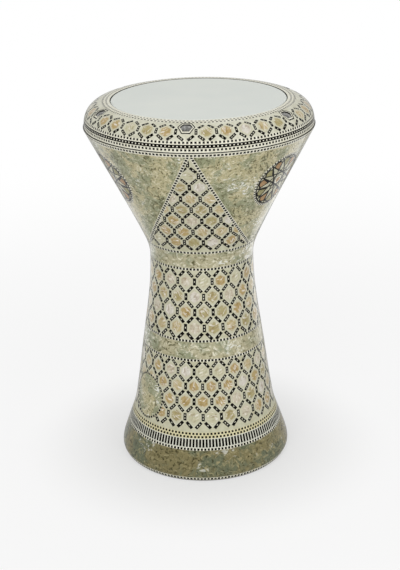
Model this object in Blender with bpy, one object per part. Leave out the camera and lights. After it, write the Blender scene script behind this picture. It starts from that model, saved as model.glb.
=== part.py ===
"""A goblet drum: a cast shell clad in bands of inlay, with a tuned head held down by a bolted cover ring.

Sizes are in metres. +Z points up, and the origin is on the floor under the middle of the drum.
The front of the drum, where one of its six tuning bolts sits, faces -Y.
"""

import math

import bmesh
import bpy

# Facets round a full turn, for the large turned pieces and for the small ones
SIDES = 36
SMALL_SIDES = 12

# Farthest that a chord strays from its curve on the inlay, on the shell's outside and on its inside
INLAY_TOLERANCE = 0.00025
SHELL_TOLERANCE = 0.00012
WALL_TOLERANCE = 0.0005
WELD = 0.00001

# Overall size, and the head that everything above the bowl is built for
HEIGHT = 0.440
HOOP_R = 0.1110

# Clearances
SEAT_GAP = 0.0003
RIM_GAP = 0.0013

# Foot, column, throat and bowl of the finished drum. The bowl hangs from the rim, its cone above its curve
FOOT_R = 0.1030
FOOT_WIDE_Z = 0.008
FOOT_TUCK = 0.0038
FLANK_LOW_Z = 0.024
FLANK_LOW_R = 0.0993
FLANK_TOP_Z = 0.056
FLANK_TOP_R = 0.0879
FLANK_SLOPE = -0.34
COLUMN_LOW_Z = 0.072
COLUMN_LOW_R = 0.0841
COLUMN_TOP_Z = 0.180
COLUMN_TOP_R = 0.0678
COLUMN_SLOPE = -0.155
THROAT_R = 0.0611
BOWL_LOW_R = 0.0700
BOWL_H = 0.1573
BOWL_CONE_H = 0.1253

# Shell casting
WALL = 0.0040
CLADDING = 0.0015
FLANGE_T = 0.0050
BEAD_H = 0.0120
BEAD_TAPER_H = 0.0080
BEAD_LIP = 0.0020
BEARING_W = 0.0050
BEARING_CHAMFER = 0.0010
BEARING_INSET = 0.0120

# Inlay bands on the shell, from the floor up. The upper lattice and the bowl veneer fill what is left
EDGE_STRIP_H = 0.0027
FOOT_VENEER_H = 0.0334
STRIP_H = 0.0028
BARRED_BAND_H = 0.0108
DOUBLE_STRIP_H = 0.0068
LOWER_LATTICE_H = 0.0860
WAIST_VENEER_H = 0.0202
NECK_STRIP_DROP = 0.0008
NECK_VENEER_H = 0.0190

# Head: a film drawn over the bearing edge and down into its hoop
FILM_T = 0.0004
FILM_OVER = 0.0002
FILM_BEND = 0.0008
HOOP_W = 0.0048
HOOP_H = 0.0077
HOOP_DROP = 0.0118

# Cover ring, whose finished section is a quarter of a superellipse
RING_POWER = 2.34
RING_STEP_IN = 0.0011
EYE_TO_BEARING = 0.0018
RING_STRIP_W = 0.0094
RING_SIDE_STRIPS_H = 0.0119
RING_WEB_T = 0.0080
RING_SKIRT_T = 0.0040
RING_SKIRT_H = 0.0034
RING_LIP_T = 0.0010
SHOULDER_W = 0.0034
HOOP_SIDE_GAP = 0.0006

# Tuning bolts, M6, with their washers, hexagonal wells and threaded inserts
BOLTS = 6
BOLT_TO_HOOP = 0.0068
BOLT_TO_RIM = 0.0147
SHANK_R = 0.0030
SHANK_L = 0.0250
BOLT_HEAD_R = 0.0049
BOLT_HEAD_H = 0.0060
SOCKET_AF = 0.0050
SOCKET_DEPTH = 0.0032
SHANK_GAP = 0.0003
WASHER_T = 0.0010
WELL_W = 0.0174
WELL_D = 0.0130
WELL_TUBE_T = 0.0004
COUNTERBORE_H = 0.0045
WELL_TOP_INSET = 0.0002
INSERT_WALL = 0.0010
INSERT_L = 0.0104
BOLT_HOLE_SPARE = 0.0010
BOSS_WALL = 0.0012
BOSS_FLOOR = 0.0022

# Rubber foot ring, a flat tread with a tongue that sits in a groove of the shell
TREAD_W = 0.0066
TREAD_T = 0.0012
TONGUE_W = 0.0030
TONGUE_H = 0.0035
TONGUE_INSET = 0.0006

# Places worked out from the sizes above
FOOT_EDGE_R = FOOT_R - FOOT_TUCK
BOLT_CIRCLE_R = HOOP_R + BOLT_TO_HOOP
RIM_R = BOLT_CIRCLE_R + BOLT_TO_RIM
RING_R = RIM_R - RING_STEP_IN
BEARING_R = HOOP_R - BEARING_INSET
RING_EYE_R = BEARING_R + EYE_TO_BEARING
HOOP_TOP_Z = HEIGHT - HOOP_DROP
SHOULDER_Z = HOOP_TOP_Z + SEAT_GAP
WEB_TOP_Z = SHOULDER_Z - COUNTERBORE_H
RING_LOW_Z = WEB_TOP_Z - RING_WEB_T - RING_SKIRT_H
RIM_Z = RING_LOW_Z - RIM_GAP
THROAT_Z = RIM_Z - BOWL_H
BOWL_LOW_Z = RIM_Z - BOWL_CONE_H
SHELL_LOW_Z = TREAD_T + SEAT_GAP
BARE = CLADDING + SEAT_GAP
WASHER_Z = WEB_TOP_Z + SEAT_GAP
BOLT_SEAT_Z = WASHER_Z + WASHER_T + SEAT_GAP
INSERT_TOP_Z = RIM_Z - SEAT_GAP
BOLT_HOLE_LOW_Z = min(BOLT_SEAT_Z - SHANK_L, INSERT_TOP_Z - INSERT_L) - BOLT_HOLE_SPARE


def hermite(z, low, high):
    """Radius at height z on the cubic that joins two stations of (height, radius, slope)."""
    (z0, r0, m0), (z1, r1, m1) = low, high
    h = z1 - z0
    s = (z - z0) / h
    from_low = (2 * s**3 - 3 * s**2 + 1) * r0 + (s**3 - 2 * s**2 + s) * h * m0
    from_high = (3 * s**2 - 2 * s**3) * r1 + (s**3 - s**2) * h * m1
    return from_low + from_high


BOWL_SLOPE = (RIM_R - BOWL_LOW_R) / (RIM_Z - BOWL_LOW_Z)
STATIONS = (
    (0.0, FOOT_EDGE_R, 1.0),
    (FOOT_WIDE_Z, FOOT_R, 0.0),
    (FLANK_LOW_Z, FLANK_LOW_R, FLANK_SLOPE),
    (FLANK_TOP_Z, FLANK_TOP_R, FLANK_SLOPE),
    (COLUMN_LOW_Z, COLUMN_LOW_R, COLUMN_SLOPE),
    (COLUMN_TOP_Z, COLUMN_TOP_R, COLUMN_SLOPE),
    (THROAT_Z, THROAT_R, 0.0),
    (BOWL_LOW_Z, BOWL_LOW_R, BOWL_SLOPE),
)


def outline(z):
    """Radius of the finished drum at height z: cubics up to the bowl, which is a straight cone."""
    if z >= BOWL_LOW_Z:
        return BOWL_LOW_R + BOWL_SLOPE * (z - BOWL_LOW_Z)
    for low, high in zip(STATIONS, STATIONS[1:]):
        if z <= high[0]:
            return hermite(z, low, high)
    return THROAT_R


def heights(low, high, tolerance=INLAY_TOLERANCE):
    """As many even heights from low to high as keep the outline's chords within the tolerance."""
    knots = [low] + [z for z, _, _ in STATIONS if low < z < high] + [high]
    found = [low]
    for z0, z1 in zip(knots, knots[1:]):
        parts = 1
        while worst_chord(z0, z1, parts) > tolerance:
            parts += 1
        found += [z0 + (z1 - z0) * i / parts for i in range(1, parts + 1)]
    return found


def worst_chord(z0, z1, parts):
    """Largest distance from the outline to its chords when z0 to z1 is cut into equal parts."""
    step = (z1 - z0) / parts
    worst = 0.0
    for i in range(parts):
        start, end = outline(z0 + step * i), outline(z0 + step * (i + 1))
        for share in (0.25, 0.5, 0.75):
            chord = start + (end - start) * share
            worst = max(worst, abs(outline(z0 + step * (i + share)) - chord))
    return worst


def ring_angle_at_radius(radius):
    """Parameter of the ring's superellipse where its finished surface has this radius."""
    share = (radius - RING_EYE_R) / (RING_R - RING_EYE_R)
    return math.asin(share ** (RING_POWER / 2))


def ring_angle_at_height(z):
    """Parameter of the ring's superellipse where its finished surface has this height."""
    share = (z - RING_LOW_Z) / (HEIGHT - RING_LOW_Z)
    return math.acos(share ** (RING_POWER / 2))


def ring_point(angle, inset=0.0):
    """Point (radius, height) of the ring's section, moved inwards along its normal."""
    width = RING_R - RING_EYE_R
    rise = HEIGHT - RING_LOW_Z
    across = math.sin(angle) ** (2 / RING_POWER)
    up = max(math.cos(angle), 0.0) ** (2 / RING_POWER)
    normal = (across ** (RING_POWER - 1) / width, up ** (RING_POWER - 1) / rise)
    length = math.hypot(*normal)
    radius = RING_EYE_R + width * across - inset * normal[0] / length
    return radius, RING_LOW_Z + rise * up - inset * normal[1] / length


def ring_surface_z(radius):
    """Height of the ring's finished surface at this radius."""
    return ring_point(ring_angle_at_radius(radius))[1]


def ring_arc(first, last, parts, inset):
    """Points of the ring's section between two parameters."""
    return [ring_point(first + (last - first) * i / parts, inset) for i in range(parts + 1)]


def clear_scene():
    for thing in list(bpy.data.objects):
        bpy.data.objects.remove(thing, do_unlink=True)


def make_material(name, colour, roughness, metallic=0.0):
    """A Principled material of one colour."""
    material = bpy.data.materials.new(name)
    material.use_nodes = True
    shader = material.node_tree.nodes["Principled BSDF"]
    shader.inputs["Base Color"].default_value = (*colour, 1.0)
    shader.inputs["Roughness"].default_value = roughness
    shader.inputs["Metallic"].default_value = metallic
    return material


def make_object(name, shape, material=None):
    """An object from a bmesh, with its faces turned outwards and its round faces smooth."""
    bmesh.ops.recalc_face_normals(shape, faces=shape.faces)
    mesh = bpy.data.meshes.new(name)
    shape.to_mesh(mesh)
    shape.free()
    mesh.shade_smooth()
    mesh.set_sharp_from_angle(angle=math.radians(35))
    if material:
        mesh.materials.append(material)
    thing = bpy.data.objects.new(name, mesh)
    bpy.context.collection.objects.link(thing)
    return thing


def turned(name, profile, material=None, sides=SIDES):
    """A solid turned about Z from an outline of (radius, height) points, which may end on the axis."""
    shape = bmesh.new()
    points = [shape.verts.new((radius, 0.0, z)) for radius, z in profile]
    pairs = list(zip(points, points[1:]))
    if profile[0][0] > 0 or profile[-1][0] > 0:
        pairs.append((points[-1], points[0]))
    edges = [shape.edges.new(pair) for pair in pairs]
    bmesh.ops.spin(
        shape, geom=points + edges, cent=(0, 0, 0), axis=(0, 0, 1), angle=math.tau, steps=sides, use_merge=True
    )
    bmesh.ops.remove_doubles(shape, verts=shape.verts, dist=WELD)
    return make_object(name, shape, material)


def circle_ring(radius, z):
    """The points of a small round section."""
    turns = [math.tau * i / SMALL_SIDES for i in range(SMALL_SIDES)]
    return [(radius * math.cos(a), radius * math.sin(a), z) for a in turns]


def hexagon_ring(width, depth, z):
    """A hexagon with a point at each corner and each mid-side, and corners to +X and -X."""
    found = []
    for i in range(SMALL_SIDES):
        radius = math.cos(math.pi / 6) if i % 2 else 1.0
        a = math.tau * i / SMALL_SIDES
        across = radius * math.sin(a) / math.sin(math.pi / 3)
        found.append((width / 2 * radius * math.cos(a), depth / 2 * across, z))
    return found


def even_hexagon_ring(across_flats, z):
    """A regular hexagon."""
    return hexagon_ring(across_flats * 2 / math.sqrt(3), across_flats, z)


def well_opening(z):
    """The hexagonal hole that a well drops into."""
    return hexagon_ring(WELL_W + 2 * SEAT_GAP, WELL_D + 2 * SEAT_GAP, z)


def add_loft(shape, rings, closed):
    """Faces between rings of as many points, which join up end to end or are capped."""
    rows = [[shape.verts.new(point) for point in ring] for ring in rings]
    pairs = list(zip(rows, rows[1:]))
    if closed:
        pairs.append((rows[-1], rows[0]))
    else:
        shape.faces.new(rows[0])
        shape.faces.new(rows[-1])
    for lower, upper in pairs:
        for i in range(len(lower)):
            j = (i + 1) % len(lower)
            shape.faces.new((lower[i], lower[j], upper[j], upper[i]))


def bolt_places():
    """Turn about Z and centre of each bolt, the first at the front."""
    for i in range(BOLTS):
        turn = math.tau * i / BOLTS
        yield i + 1, turn, (BOLT_CIRCLE_R * math.sin(turn), -BOLT_CIRCLE_R * math.cos(turn))


def at_each_bolt(name, rings, closed, material, z=0.0):
    """A copy of a lofted piece at each bolt, with its origin on the bolt's axis at height z."""
    things = []
    for number, turn, (x, y) in bolt_places():
        shape = bmesh.new()
        add_loft(shape, [[(px, py, pz - z) for px, py, pz in ring] for ring in rings], closed)
        thing = make_object(f"{name}_{number}", shape, material)
        thing.location = (x, y, z)
        thing.rotation_euler = (0.0, 0.0, turn)
        things.append(thing)
    return things


def bolt_cutter(name, rings):
    """One wire object that holds a lofted solid at each bolt, for cutting or adding."""
    shape = bmesh.new()
    for _, turn, (x, y) in bolt_places():
        c, s = math.cos(turn), math.sin(turn)
        placed = [[(x + c * px - s * py, y + s * px + c * py, pz) for px, py, pz in ring] for ring in rings]
        add_loft(shape, placed, closed=False)
    cutter = make_object(name, shape)
    cutter.hide_render = True
    cutter.display_type = "WIRE"
    return cutter


def combine(thing, other, operation):
    """An exact Boolean modifier."""
    modifier = thing.modifiers.new(operation.lower(), "BOOLEAN")
    modifier.object = other
    modifier.operation = operation
    modifier.solver = "EXACT"


def shell_casting(material):
    """The goblet: outer wall, foot bead with a groove, bearing edge, and a flange with bosses.

    A boss leans in towards its foot, so that it ends inside the sloping wall.
    """
    outer = [(outline(z) - BARE, z) for z in heights(SHELL_LOW_Z, RIM_Z, SHELL_TOLERANCE)]
    crest_z = HEIGHT - FILM_T - SEAT_GAP
    bearing = [
        (BEARING_R, RIM_Z),
        (BEARING_R, crest_z - BEARING_CHAMFER),
        (BEARING_R - BEARING_CHAMFER, crest_z),
        (BEARING_R - BEARING_W + BEARING_CHAMFER, crest_z),
        (BEARING_R - BEARING_W, crest_z - BEARING_CHAMFER),
        (BEARING_R - BEARING_W, RIM_Z - FLANGE_T),
    ]
    wall_heights = heights(BEAD_H + BEAD_TAPER_H, RIM_Z - FLANGE_T, WALL_TOLERANCE)
    inner = [(outline(z) - BARE - WALL, z) for z in reversed(wall_heights)]
    groove_in = groove_r() - TONGUE_W - 2 * SEAT_GAP
    groove_top = TREAD_T + TONGUE_H + SEAT_GAP
    groove = [
        (groove_in - BEAD_LIP, BEAD_H),
        (groove_in - BEAD_LIP, SHELL_LOW_Z),
        (groove_in, SHELL_LOW_Z),
        (groove_in, groove_top),
        (groove_r(), groove_top),
        (groove_r(), SHELL_LOW_Z),
    ]
    shell = turned("shell_casting", outer + bearing + inner + groove, material)
    boss_low = BOLT_HOLE_LOW_Z - BOSS_FLOOR
    hole_r = insert_r() + SEAT_GAP
    boss_r = hole_r + BOSS_WALL
    lean = BOLT_CIRCLE_R + boss_r - (outline(boss_low) - BARE - WALL / 2)
    boss_foot = [(x, y + lean, z) for x, y, z in circle_ring(boss_r, boss_low)]
    bosses = [boss_foot, circle_ring(boss_r, RIM_Z - FLANGE_T / 2)]
    holes = [circle_ring(hole_r, BOLT_HOLE_LOW_Z), circle_ring(hole_r, RIM_Z + FLANGE_T)]
    combine(shell, bolt_cutter("boss_shapes", bosses), "UNION")
    combine(shell, bolt_cutter("boss_holes", holes), "DIFFERENCE")
    return shell


def groove_r():
    """Outer radius of the groove for the foot ring's tongue."""
    return FOOT_EDGE_R - BARE - TONGUE_INSET


def insert_r():
    """Outer radius of a threaded insert."""
    return SHANK_R + SHANK_GAP + INSERT_WALL


def stacked(low, pieces):
    """Name, lower edge and upper edge of pieces that stand on each other from a height up."""
    found = []
    for name, height in pieces:
        found.append((name, low, low + height))
        low += height
    return found


def band_edges():
    """Name, lower edge and upper edge of each inlay band on the shell, from the floor up."""
    column = [
        ("edge_strip", EDGE_STRIP_H),
        ("foot_veneer", FOOT_VENEER_H),
        ("foot_strip", STRIP_H),
        ("barred_band", BARRED_BAND_H),
        ("double_strip", DOUBLE_STRIP_H),
        ("lower_lattice", LOWER_LATTICE_H),
        ("waist_strip_low", STRIP_H),
        ("waist_veneer", WAIST_VENEER_H),
        ("waist_strip_high", STRIP_H),
    ]
    neck = [
        ("neck_strip_low", STRIP_H),
        ("neck_veneer", NECK_VENEER_H),
        ("neck_strip_high", STRIP_H),
    ]
    lower = stacked(SHELL_LOW_Z, column)
    upper = stacked(THROAT_Z - NECK_STRIP_DROP, neck)
    lattice = ("upper_lattice", lower[-1][2], upper[0][1])
    veneer = ("bowl_veneer", upper[-1][2], RIM_Z - STRIP_H)
    rim = ("rim_strip", RIM_Z - STRIP_H, RIM_Z)
    return lower + [lattice] + upper + [veneer, rim]


def shell_bands(materials):
    """The rings of inlay glued round the shell, each held off its neighbours by a hairline seam."""
    for name, z0, z1 in band_edges():
        levels = heights(z0, z1)
        levels[0] += SEAT_GAP / 2
        levels[-1] -= SEAT_GAP / 2
        outer = [(outline(z), z) for z in reversed(levels)]
        inner = [(outline(z) - CLADDING, z) for z in levels]
        turned(name, outer + inner, materials[name])


def foot_ring(material):
    """The rubber tread that the drum stands on, with a tongue up into the shell's groove."""
    tongue_out = groove_r() - SEAT_GAP
    tread_out = FOOT_EDGE_R
    tread_in = tread_out - TREAD_W
    tongue_top = TREAD_T + TONGUE_H
    profile = [
        (tread_out, TREAD_T),
        (tread_out, 0.0),
        (tread_in, 0.0),
        (tread_in, TREAD_T),
        (tongue_out - TONGUE_W, TREAD_T),
        (tongue_out - TONGUE_W, tongue_top),
        (tongue_out, tongue_top),
        (tongue_out, TREAD_T),
    ]
    turned("foot_ring", profile, material)


def head(film_material, hoop_material):
    """The film, flat over the bearing edge and drawn down to the hoop, and the hoop under the ring."""
    flat_r = BEARING_R + FILM_OVER
    hoop_in_r = HOOP_R - HOOP_W
    outer = [
        (0.0, HEIGHT),
        (flat_r, HEIGHT),
        (flat_r + FILM_BEND, HEIGHT - FILM_BEND),
        (hoop_in_r + FILM_BEND, HOOP_TOP_Z + SEAT_GAP),
    ]
    inner = [
        (hoop_in_r + FILM_BEND - FILM_T, HOOP_TOP_Z + SEAT_GAP),
        (flat_r + FILM_BEND - FILM_T, HEIGHT - FILM_BEND - FILM_T / 2),
        (flat_r - FILM_T / 2, HEIGHT - FILM_T),
        (0.0, HEIGHT - FILM_T),
    ]
    turned("head_film", outer + inner, film_material)
    low = HOOP_TOP_Z - HOOP_H
    hoop = [(HOOP_R, HOOP_TOP_Z), (HOOP_R, low), (hoop_in_r, low), (hoop_in_r, HOOP_TOP_Z)]
    turned("flesh_hoop", hoop, hoop_material)


def ring_bands(materials):
    """The inlay on the cover ring: an inner strip, the lattice with its six wells, and side strips."""
    strip_end = ring_angle_at_radius(RING_EYE_R + RING_STRIP_W)
    sides_start = ring_angle_at_height(RING_LOW_Z + RING_SIDE_STRIPS_H)
    seam = SEAT_GAP / (RING_R - RING_EYE_R)
    spans = (
        ("ring_inner_strip", 0.0, strip_end - seam, 1),
        ("ring_lattice", strip_end, sides_start - seam, 5),
        ("ring_side_strips", sides_start, math.pi / 2, 2),
    )
    for name, first, last, parts in spans:
        top = ring_arc(first, last, parts, 0.0)
        underside = ring_arc(first, last, parts, CLADDING)
        band = turned(name, top + underside[::-1], materials[name])
        if name == "ring_lattice":
            hole = [well_opening(RING_LOW_Z), well_opening(HEIGHT + CLADDING)]
            combine(band, bolt_cutter("well_holes", hole), "DIFFERENCE")


def cover_ring(material):
    """The ring casting: a lip round the film, a shoulder on the hoop, and a web bored for the bolts."""
    lip_r = RING_EYE_R + CLADDING
    lip_angle = ring_angle_at_radius(lip_r + RING_LIP_T)
    top = ring_arc(lip_angle, math.pi / 2, 7, BARE)
    web_low = WEB_TOP_Z - RING_WEB_T
    hoop_side = HOOP_R + HOOP_SIDE_GAP
    skirt_in = RING_R - BARE - RING_SKIRT_T
    inside = [
        (skirt_in, RING_LOW_Z),
        (skirt_in, web_low),
        (hoop_side, web_low),
        (hoop_side, SHOULDER_Z),
        (hoop_side - SHOULDER_W, SHOULDER_Z),
        (hoop_side - SHOULDER_W, SHOULDER_Z + CLADDING),
        (top[0][0], top[0][1] - RING_LIP_T),
    ]
    ring = turned("cover_ring", top + inside, material)
    pocket_z = SHOULDER_Z + SEAT_GAP * 2
    pocket = [
        well_opening(HEIGHT + CLADDING),
        well_opening(pocket_z),
        circle_ring(well_tube_r() + SEAT_GAP, pocket_z),
        circle_ring(well_tube_r() + SEAT_GAP, WEB_TOP_Z),
        circle_ring(SHANK_R + SHANK_GAP, WEB_TOP_Z),
        circle_ring(SHANK_R + SHANK_GAP, RING_LOW_Z - CLADDING),
    ]
    combine(ring, bolt_cutter("pocket_holes", pocket), "DIFFERENCE")


def well_tube_r():
    """Outer radius of the round part of a bolt's well."""
    return BOLT_HEAD_R + SEAT_GAP + WELL_TUBE_T


def follow_ring_surface(ring, inset):
    """The same points, seen from above, lifted to just under the cover ring's finished surface."""
    radii = [math.hypot(x, y - BOLT_CIRCLE_R) for x, y, _ in ring]
    return [(x, y, ring_surface_z(radius) - inset) for (x, y, _), radius in zip(ring, radii)]


def wells(material):
    """The hexagonal bezels round the bolt heads, each with a thin tube down to the web."""
    bezel_z = SHOULDER_Z + SEAT_GAP * 3
    bore_r = well_tube_r() - WELL_TUBE_T
    rings = [
        follow_ring_surface(hexagon_ring(WELL_W, WELL_D, 0.0), WELL_TOP_INSET),
        hexagon_ring(WELL_W, WELL_D, bezel_z),
        circle_ring(well_tube_r(), bezel_z),
        circle_ring(well_tube_r(), WASHER_Z),
        circle_ring(bore_r, WASHER_Z),
        follow_ring_surface(circle_ring(bore_r, 0.0), WELL_TOP_INSET),
    ]
    at_each_bolt("bolt_well", rings, closed=True, material=material)


def bolts(bolt_material, washer_material, insert_material):
    """Socket-head bolts on their washers, and the inserts that they thread into."""
    hole_r = SHANK_R + SHANK_GAP
    washer = [
        circle_ring(BOLT_HEAD_R, WASHER_Z),
        circle_ring(BOLT_HEAD_R, WASHER_Z + WASHER_T),
        circle_ring(hole_r, WASHER_Z + WASHER_T),
        circle_ring(hole_r, WASHER_Z),
    ]
    at_each_bolt("washer", washer, closed=True, material=washer_material)
    top_z = BOLT_SEAT_Z + BOLT_HEAD_H
    bolt = [
        circle_ring(SHANK_R, BOLT_SEAT_Z - SHANK_L),
        circle_ring(SHANK_R, BOLT_SEAT_Z),
        circle_ring(BOLT_HEAD_R, BOLT_SEAT_Z),
        circle_ring(BOLT_HEAD_R, top_z),
        even_hexagon_ring(SOCKET_AF, top_z),
        even_hexagon_ring(SOCKET_AF, top_z - SOCKET_DEPTH),
    ]
    at_each_bolt("tuning_bolt", bolt, closed=False, material=bolt_material, z=BOLT_SEAT_Z)
    insert = [
        circle_ring(insert_r(), INSERT_TOP_Z - INSERT_L),
        circle_ring(insert_r(), INSERT_TOP_Z),
        circle_ring(hole_r, INSERT_TOP_Z),
        circle_ring(hole_r, INSERT_TOP_Z - INSERT_L),
    ]
    at_each_bolt("threaded_insert", insert, closed=True, material=insert_material)


def build():
    clear_scene()
    cast = make_material("cast_aluminium", (0.55, 0.56, 0.57), 0.45, 1.0)
    bright = make_material("bright_aluminium", (0.72, 0.73, 0.74), 0.30, 1.0)
    steel = make_material("steel", (0.42, 0.43, 0.45), 0.28, 1.0)
    dark_steel = make_material("dark_steel", (0.16, 0.16, 0.17), 0.35, 1.0)
    rubber = make_material("black_rubber", (0.02, 0.02, 0.02), 0.80)
    film = make_material("film", (0.70, 0.73, 0.70), 0.35)
    flake = make_material("shell_flake", (0.42, 0.40, 0.26), 0.20)
    pearl = make_material("pearl_mosaic", (0.55, 0.50, 0.36), 0.20)
    dotted = make_material("dotted_strip", (0.72, 0.70, 0.55), 0.20)
    barred = make_material("barred_inlay", (0.30, 0.30, 0.27), 0.20)
    band_materials = {name: dotted for name, _, _ in band_edges()}
    for name in ("foot_veneer", "waist_veneer", "neck_veneer", "bowl_veneer"):
        band_materials[name] = flake
    for name in ("lower_lattice", "upper_lattice", "ring_lattice"):
        band_materials[name] = pearl
    band_materials["barred_band"] = barred
    band_materials["ring_inner_strip"] = dotted
    band_materials["ring_side_strips"] = dotted
    shell_casting(cast)
    shell_bands(band_materials)
    foot_ring(rubber)
    head(film, bright)
    cover_ring(cast)
    ring_bands(band_materials)
    wells(dark_steel)
    bolts(steel, steel, steel)


build()
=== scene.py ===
# %% [markdown]
# A goblet drum is a metal goblet with a skin of marquetry. Its shape is simple, a profile turned about an
# upright axis, and its beauty is in the drawing that is wrapped round it. So this lesson makes the drawing
# flat, cuts it into triangles along every line, and wraps it onto the turned surface. Every tile is then
# real mesh with its own material, and stays sharp from any distance.

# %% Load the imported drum
import math

import bpy
import numpy as np
from mathutils import Matrix, Vector
from mathutils.geometry import delaunay_2d_cdt


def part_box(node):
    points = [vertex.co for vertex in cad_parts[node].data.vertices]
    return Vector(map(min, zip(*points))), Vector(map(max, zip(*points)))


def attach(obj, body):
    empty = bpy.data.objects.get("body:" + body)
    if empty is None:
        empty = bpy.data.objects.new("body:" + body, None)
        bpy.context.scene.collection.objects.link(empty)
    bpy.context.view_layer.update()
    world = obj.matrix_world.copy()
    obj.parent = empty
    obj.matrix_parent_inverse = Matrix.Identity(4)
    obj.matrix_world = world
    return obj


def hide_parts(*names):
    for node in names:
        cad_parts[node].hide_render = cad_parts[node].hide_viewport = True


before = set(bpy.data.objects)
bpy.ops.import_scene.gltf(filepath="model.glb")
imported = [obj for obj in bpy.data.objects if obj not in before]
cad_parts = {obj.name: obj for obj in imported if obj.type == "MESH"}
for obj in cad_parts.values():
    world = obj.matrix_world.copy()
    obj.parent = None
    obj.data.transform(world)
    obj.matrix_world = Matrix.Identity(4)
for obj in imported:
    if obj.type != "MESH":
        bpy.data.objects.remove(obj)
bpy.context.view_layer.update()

# %% [markdown]
# The camera stands where the photograph was taken: well back with a long lens, a little above the head and
# looking down. A long lens keeps the foot and the head at nearly the same scale. Its place could be found
# by trial, but the ellipses of the drum's bands fix it closely, so these numbers were fitted to them.

# %% Camera
PHOTO_FOCAL_PX = 1256.3
PHOTO_LONG_SIDE_PX = 570
CAMERA_BACK = 1.400
CAMERA_SIDE = -0.0029
CAMERA_HEIGHT = 0.774
CAMERA_PITCH = math.radians(21.90)
CAMERA_ROLL = math.radians(-1.22)
CAMERA_TURN = math.radians(6.7)

camera_data = bpy.data.cameras.new("camera")
camera_data.sensor_width = 36.0
camera_data.lens = camera_data.sensor_width * PHOTO_FOCAL_PX / PHOTO_LONG_SIDE_PX
camera = bpy.data.objects.new("camera", camera_data)
bpy.context.collection.objects.link(camera)
camera.matrix_world = (
    Matrix.Rotation(CAMERA_TURN, 4, "Z")
    @ Matrix.Translation((CAMERA_SIDE, -CAMERA_BACK, CAMERA_HEIGHT))
    @ Matrix.Rotation(math.pi / 2 - CAMERA_PITCH, 4, "X")
    @ Matrix.Rotation(CAMERA_ROLL, 4, "Z")
)
bpy.context.scene.camera = camera
print("lens", round(camera_data.lens, 1), "mm")

# %% [markdown]
# The body is a cast goblet, and its cladding is one smooth turned surface. A new curve could be drawn for
# it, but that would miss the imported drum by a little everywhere. The frame's bands are turned with few
# sides, yet each of their rings of points lies exactly on the true profile. So the rings give it, a height
# and a radius for each, and a cubic through them gives the radius at any height.

# %% Rings of points
BODY_BANDS = (
    "edge_strip", "foot_veneer", "foot_strip", "barred_band", "double_strip", "lower_lattice",
    "waist_strip_low", "waist_veneer", "waist_strip_high", "upper_lattice", "neck_strip_low",
    "neck_veneer", "neck_strip_high", "bowl_veneer", "rim_strip",
)


def node_points(node):
    """The points of a CAD node, as an array."""
    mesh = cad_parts[node].data
    flat = np.empty(len(mesh.vertices) * 3, np.float32)
    mesh.vertices.foreach_get("co", flat)
    return flat.reshape(-1, 3).astype(float)


def outer_levels(node):
    """Heights of a turned node's rings of points, and the largest radius at each height."""
    points = node_points(node)
    heights, level = np.unique(points[:, 2].round(6), return_inverse=True)
    radii = np.zeros(len(heights))
    np.maximum.at(radii, level, np.hypot(points[:, 0], points[:, 1]))
    return heights, radii


ring_levels = [outer_levels(node) for node in BODY_BANDS]
known_heights = np.concatenate([heights for heights, _ in ring_levels])
known_radii = np.concatenate([radii for _, radii in ring_levels])
print(len(known_heights), "rings of points, up to", round(known_heights[-1], 4), "m high")

# %% Smooth curve through the rings
TABLE_STEPS = 4000
RIM_LIP = 0.0006


def smooth_curve(x, known_x, known_y):
    """A cubic through the known points: each piece keeps the slopes found from its neighbours."""
    slope = np.gradient(known_y, known_x)
    i = np.clip(np.searchsorted(known_x, x) - 1, 0, len(known_x) - 2)
    h = known_x[i + 1] - known_x[i]
    s = (x - known_x[i]) / h
    low = (2 * s**3 - 3 * s**2 + 1) * known_y[i] + (s**3 - 2 * s**2 + s) * h * slope[i]
    return low + (3 * s**2 - 2 * s**3) * known_y[i + 1] + (s**3 - s**2) * h * slope[i + 1]


body_heights = np.linspace(known_heights[0], known_heights[-1] + RIM_LIP, TABLE_STEPS)
body_radii = np.minimum(smooth_curve(body_heights, known_heights, known_radii), known_radii.max())
print("throat radius", round(body_radii.min(), 4), "m, rim radius", round(body_radii.max(), 4), "m")

# %% [markdown]
# The real mosaic keeps its shapes from the throat to the rim, though the drum doubles in width. If a flat
# drawing's height were simply height on the drum, a hexagon would be squashed where the drum flares. So it
# is laid out as a sea chart is: across is the turn round the axis, and up is a running length q that grows
# by ds / radius. Then every small shape keeps its angles.

# %% Profiles
class Profile:
    """A turned surface's profile as a table along its running length q, where dq = ds / radius.

    A drawing in (turn, q) keeps its angles when it is wrapped round, because a small step in either
    direction covers radius times as many metres.
    """

    def __init__(self, radius, height):
        dr, dz = np.gradient(radius), np.gradient(height)
        ds = np.hypot(dr, dz)
        self.radius, self.height = radius, height
        self.out, self.up = dz / ds, -dr / ds
        steps = np.hypot(np.diff(radius), np.diff(height)) / (radius[1:] + radius[:-1]) * 2
        self.q = np.concatenate([[0.0], np.cumsum(steps)])

    def q_at_height(self, height):
        return np.interp(height, self.height, self.q)

    def q_at_radius(self, radius):
        return np.interp(-radius, -self.radius, self.q)

    def radius_at(self, q):
        return np.interp(q, self.q, self.radius)

    def wrap(self, drawn):
        """Points and outward normals on the surface for (turn, q) pairs; turn 0 is the front, at -Y."""
        turn, q = drawn[:, 0], drawn[:, 1]
        radius, height = self.radius_at(q), np.interp(q, self.q, self.height)
        out, up = np.interp(q, self.q, self.out), np.interp(q, self.q, self.up)
        east, north = np.sin(turn), -np.cos(turn)
        points = np.stack([radius * east, radius * north, height], 1)
        normals = np.stack([out * east, out * north, up], 1)
        return points, normals / np.linalg.norm(normals, axis=1, keepdims=True)


body = Profile(body_radii, body_heights)
print("the body's drawing is", round(math.tau, 3), "wide and", round(body.q[-1], 3), "high")

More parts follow.
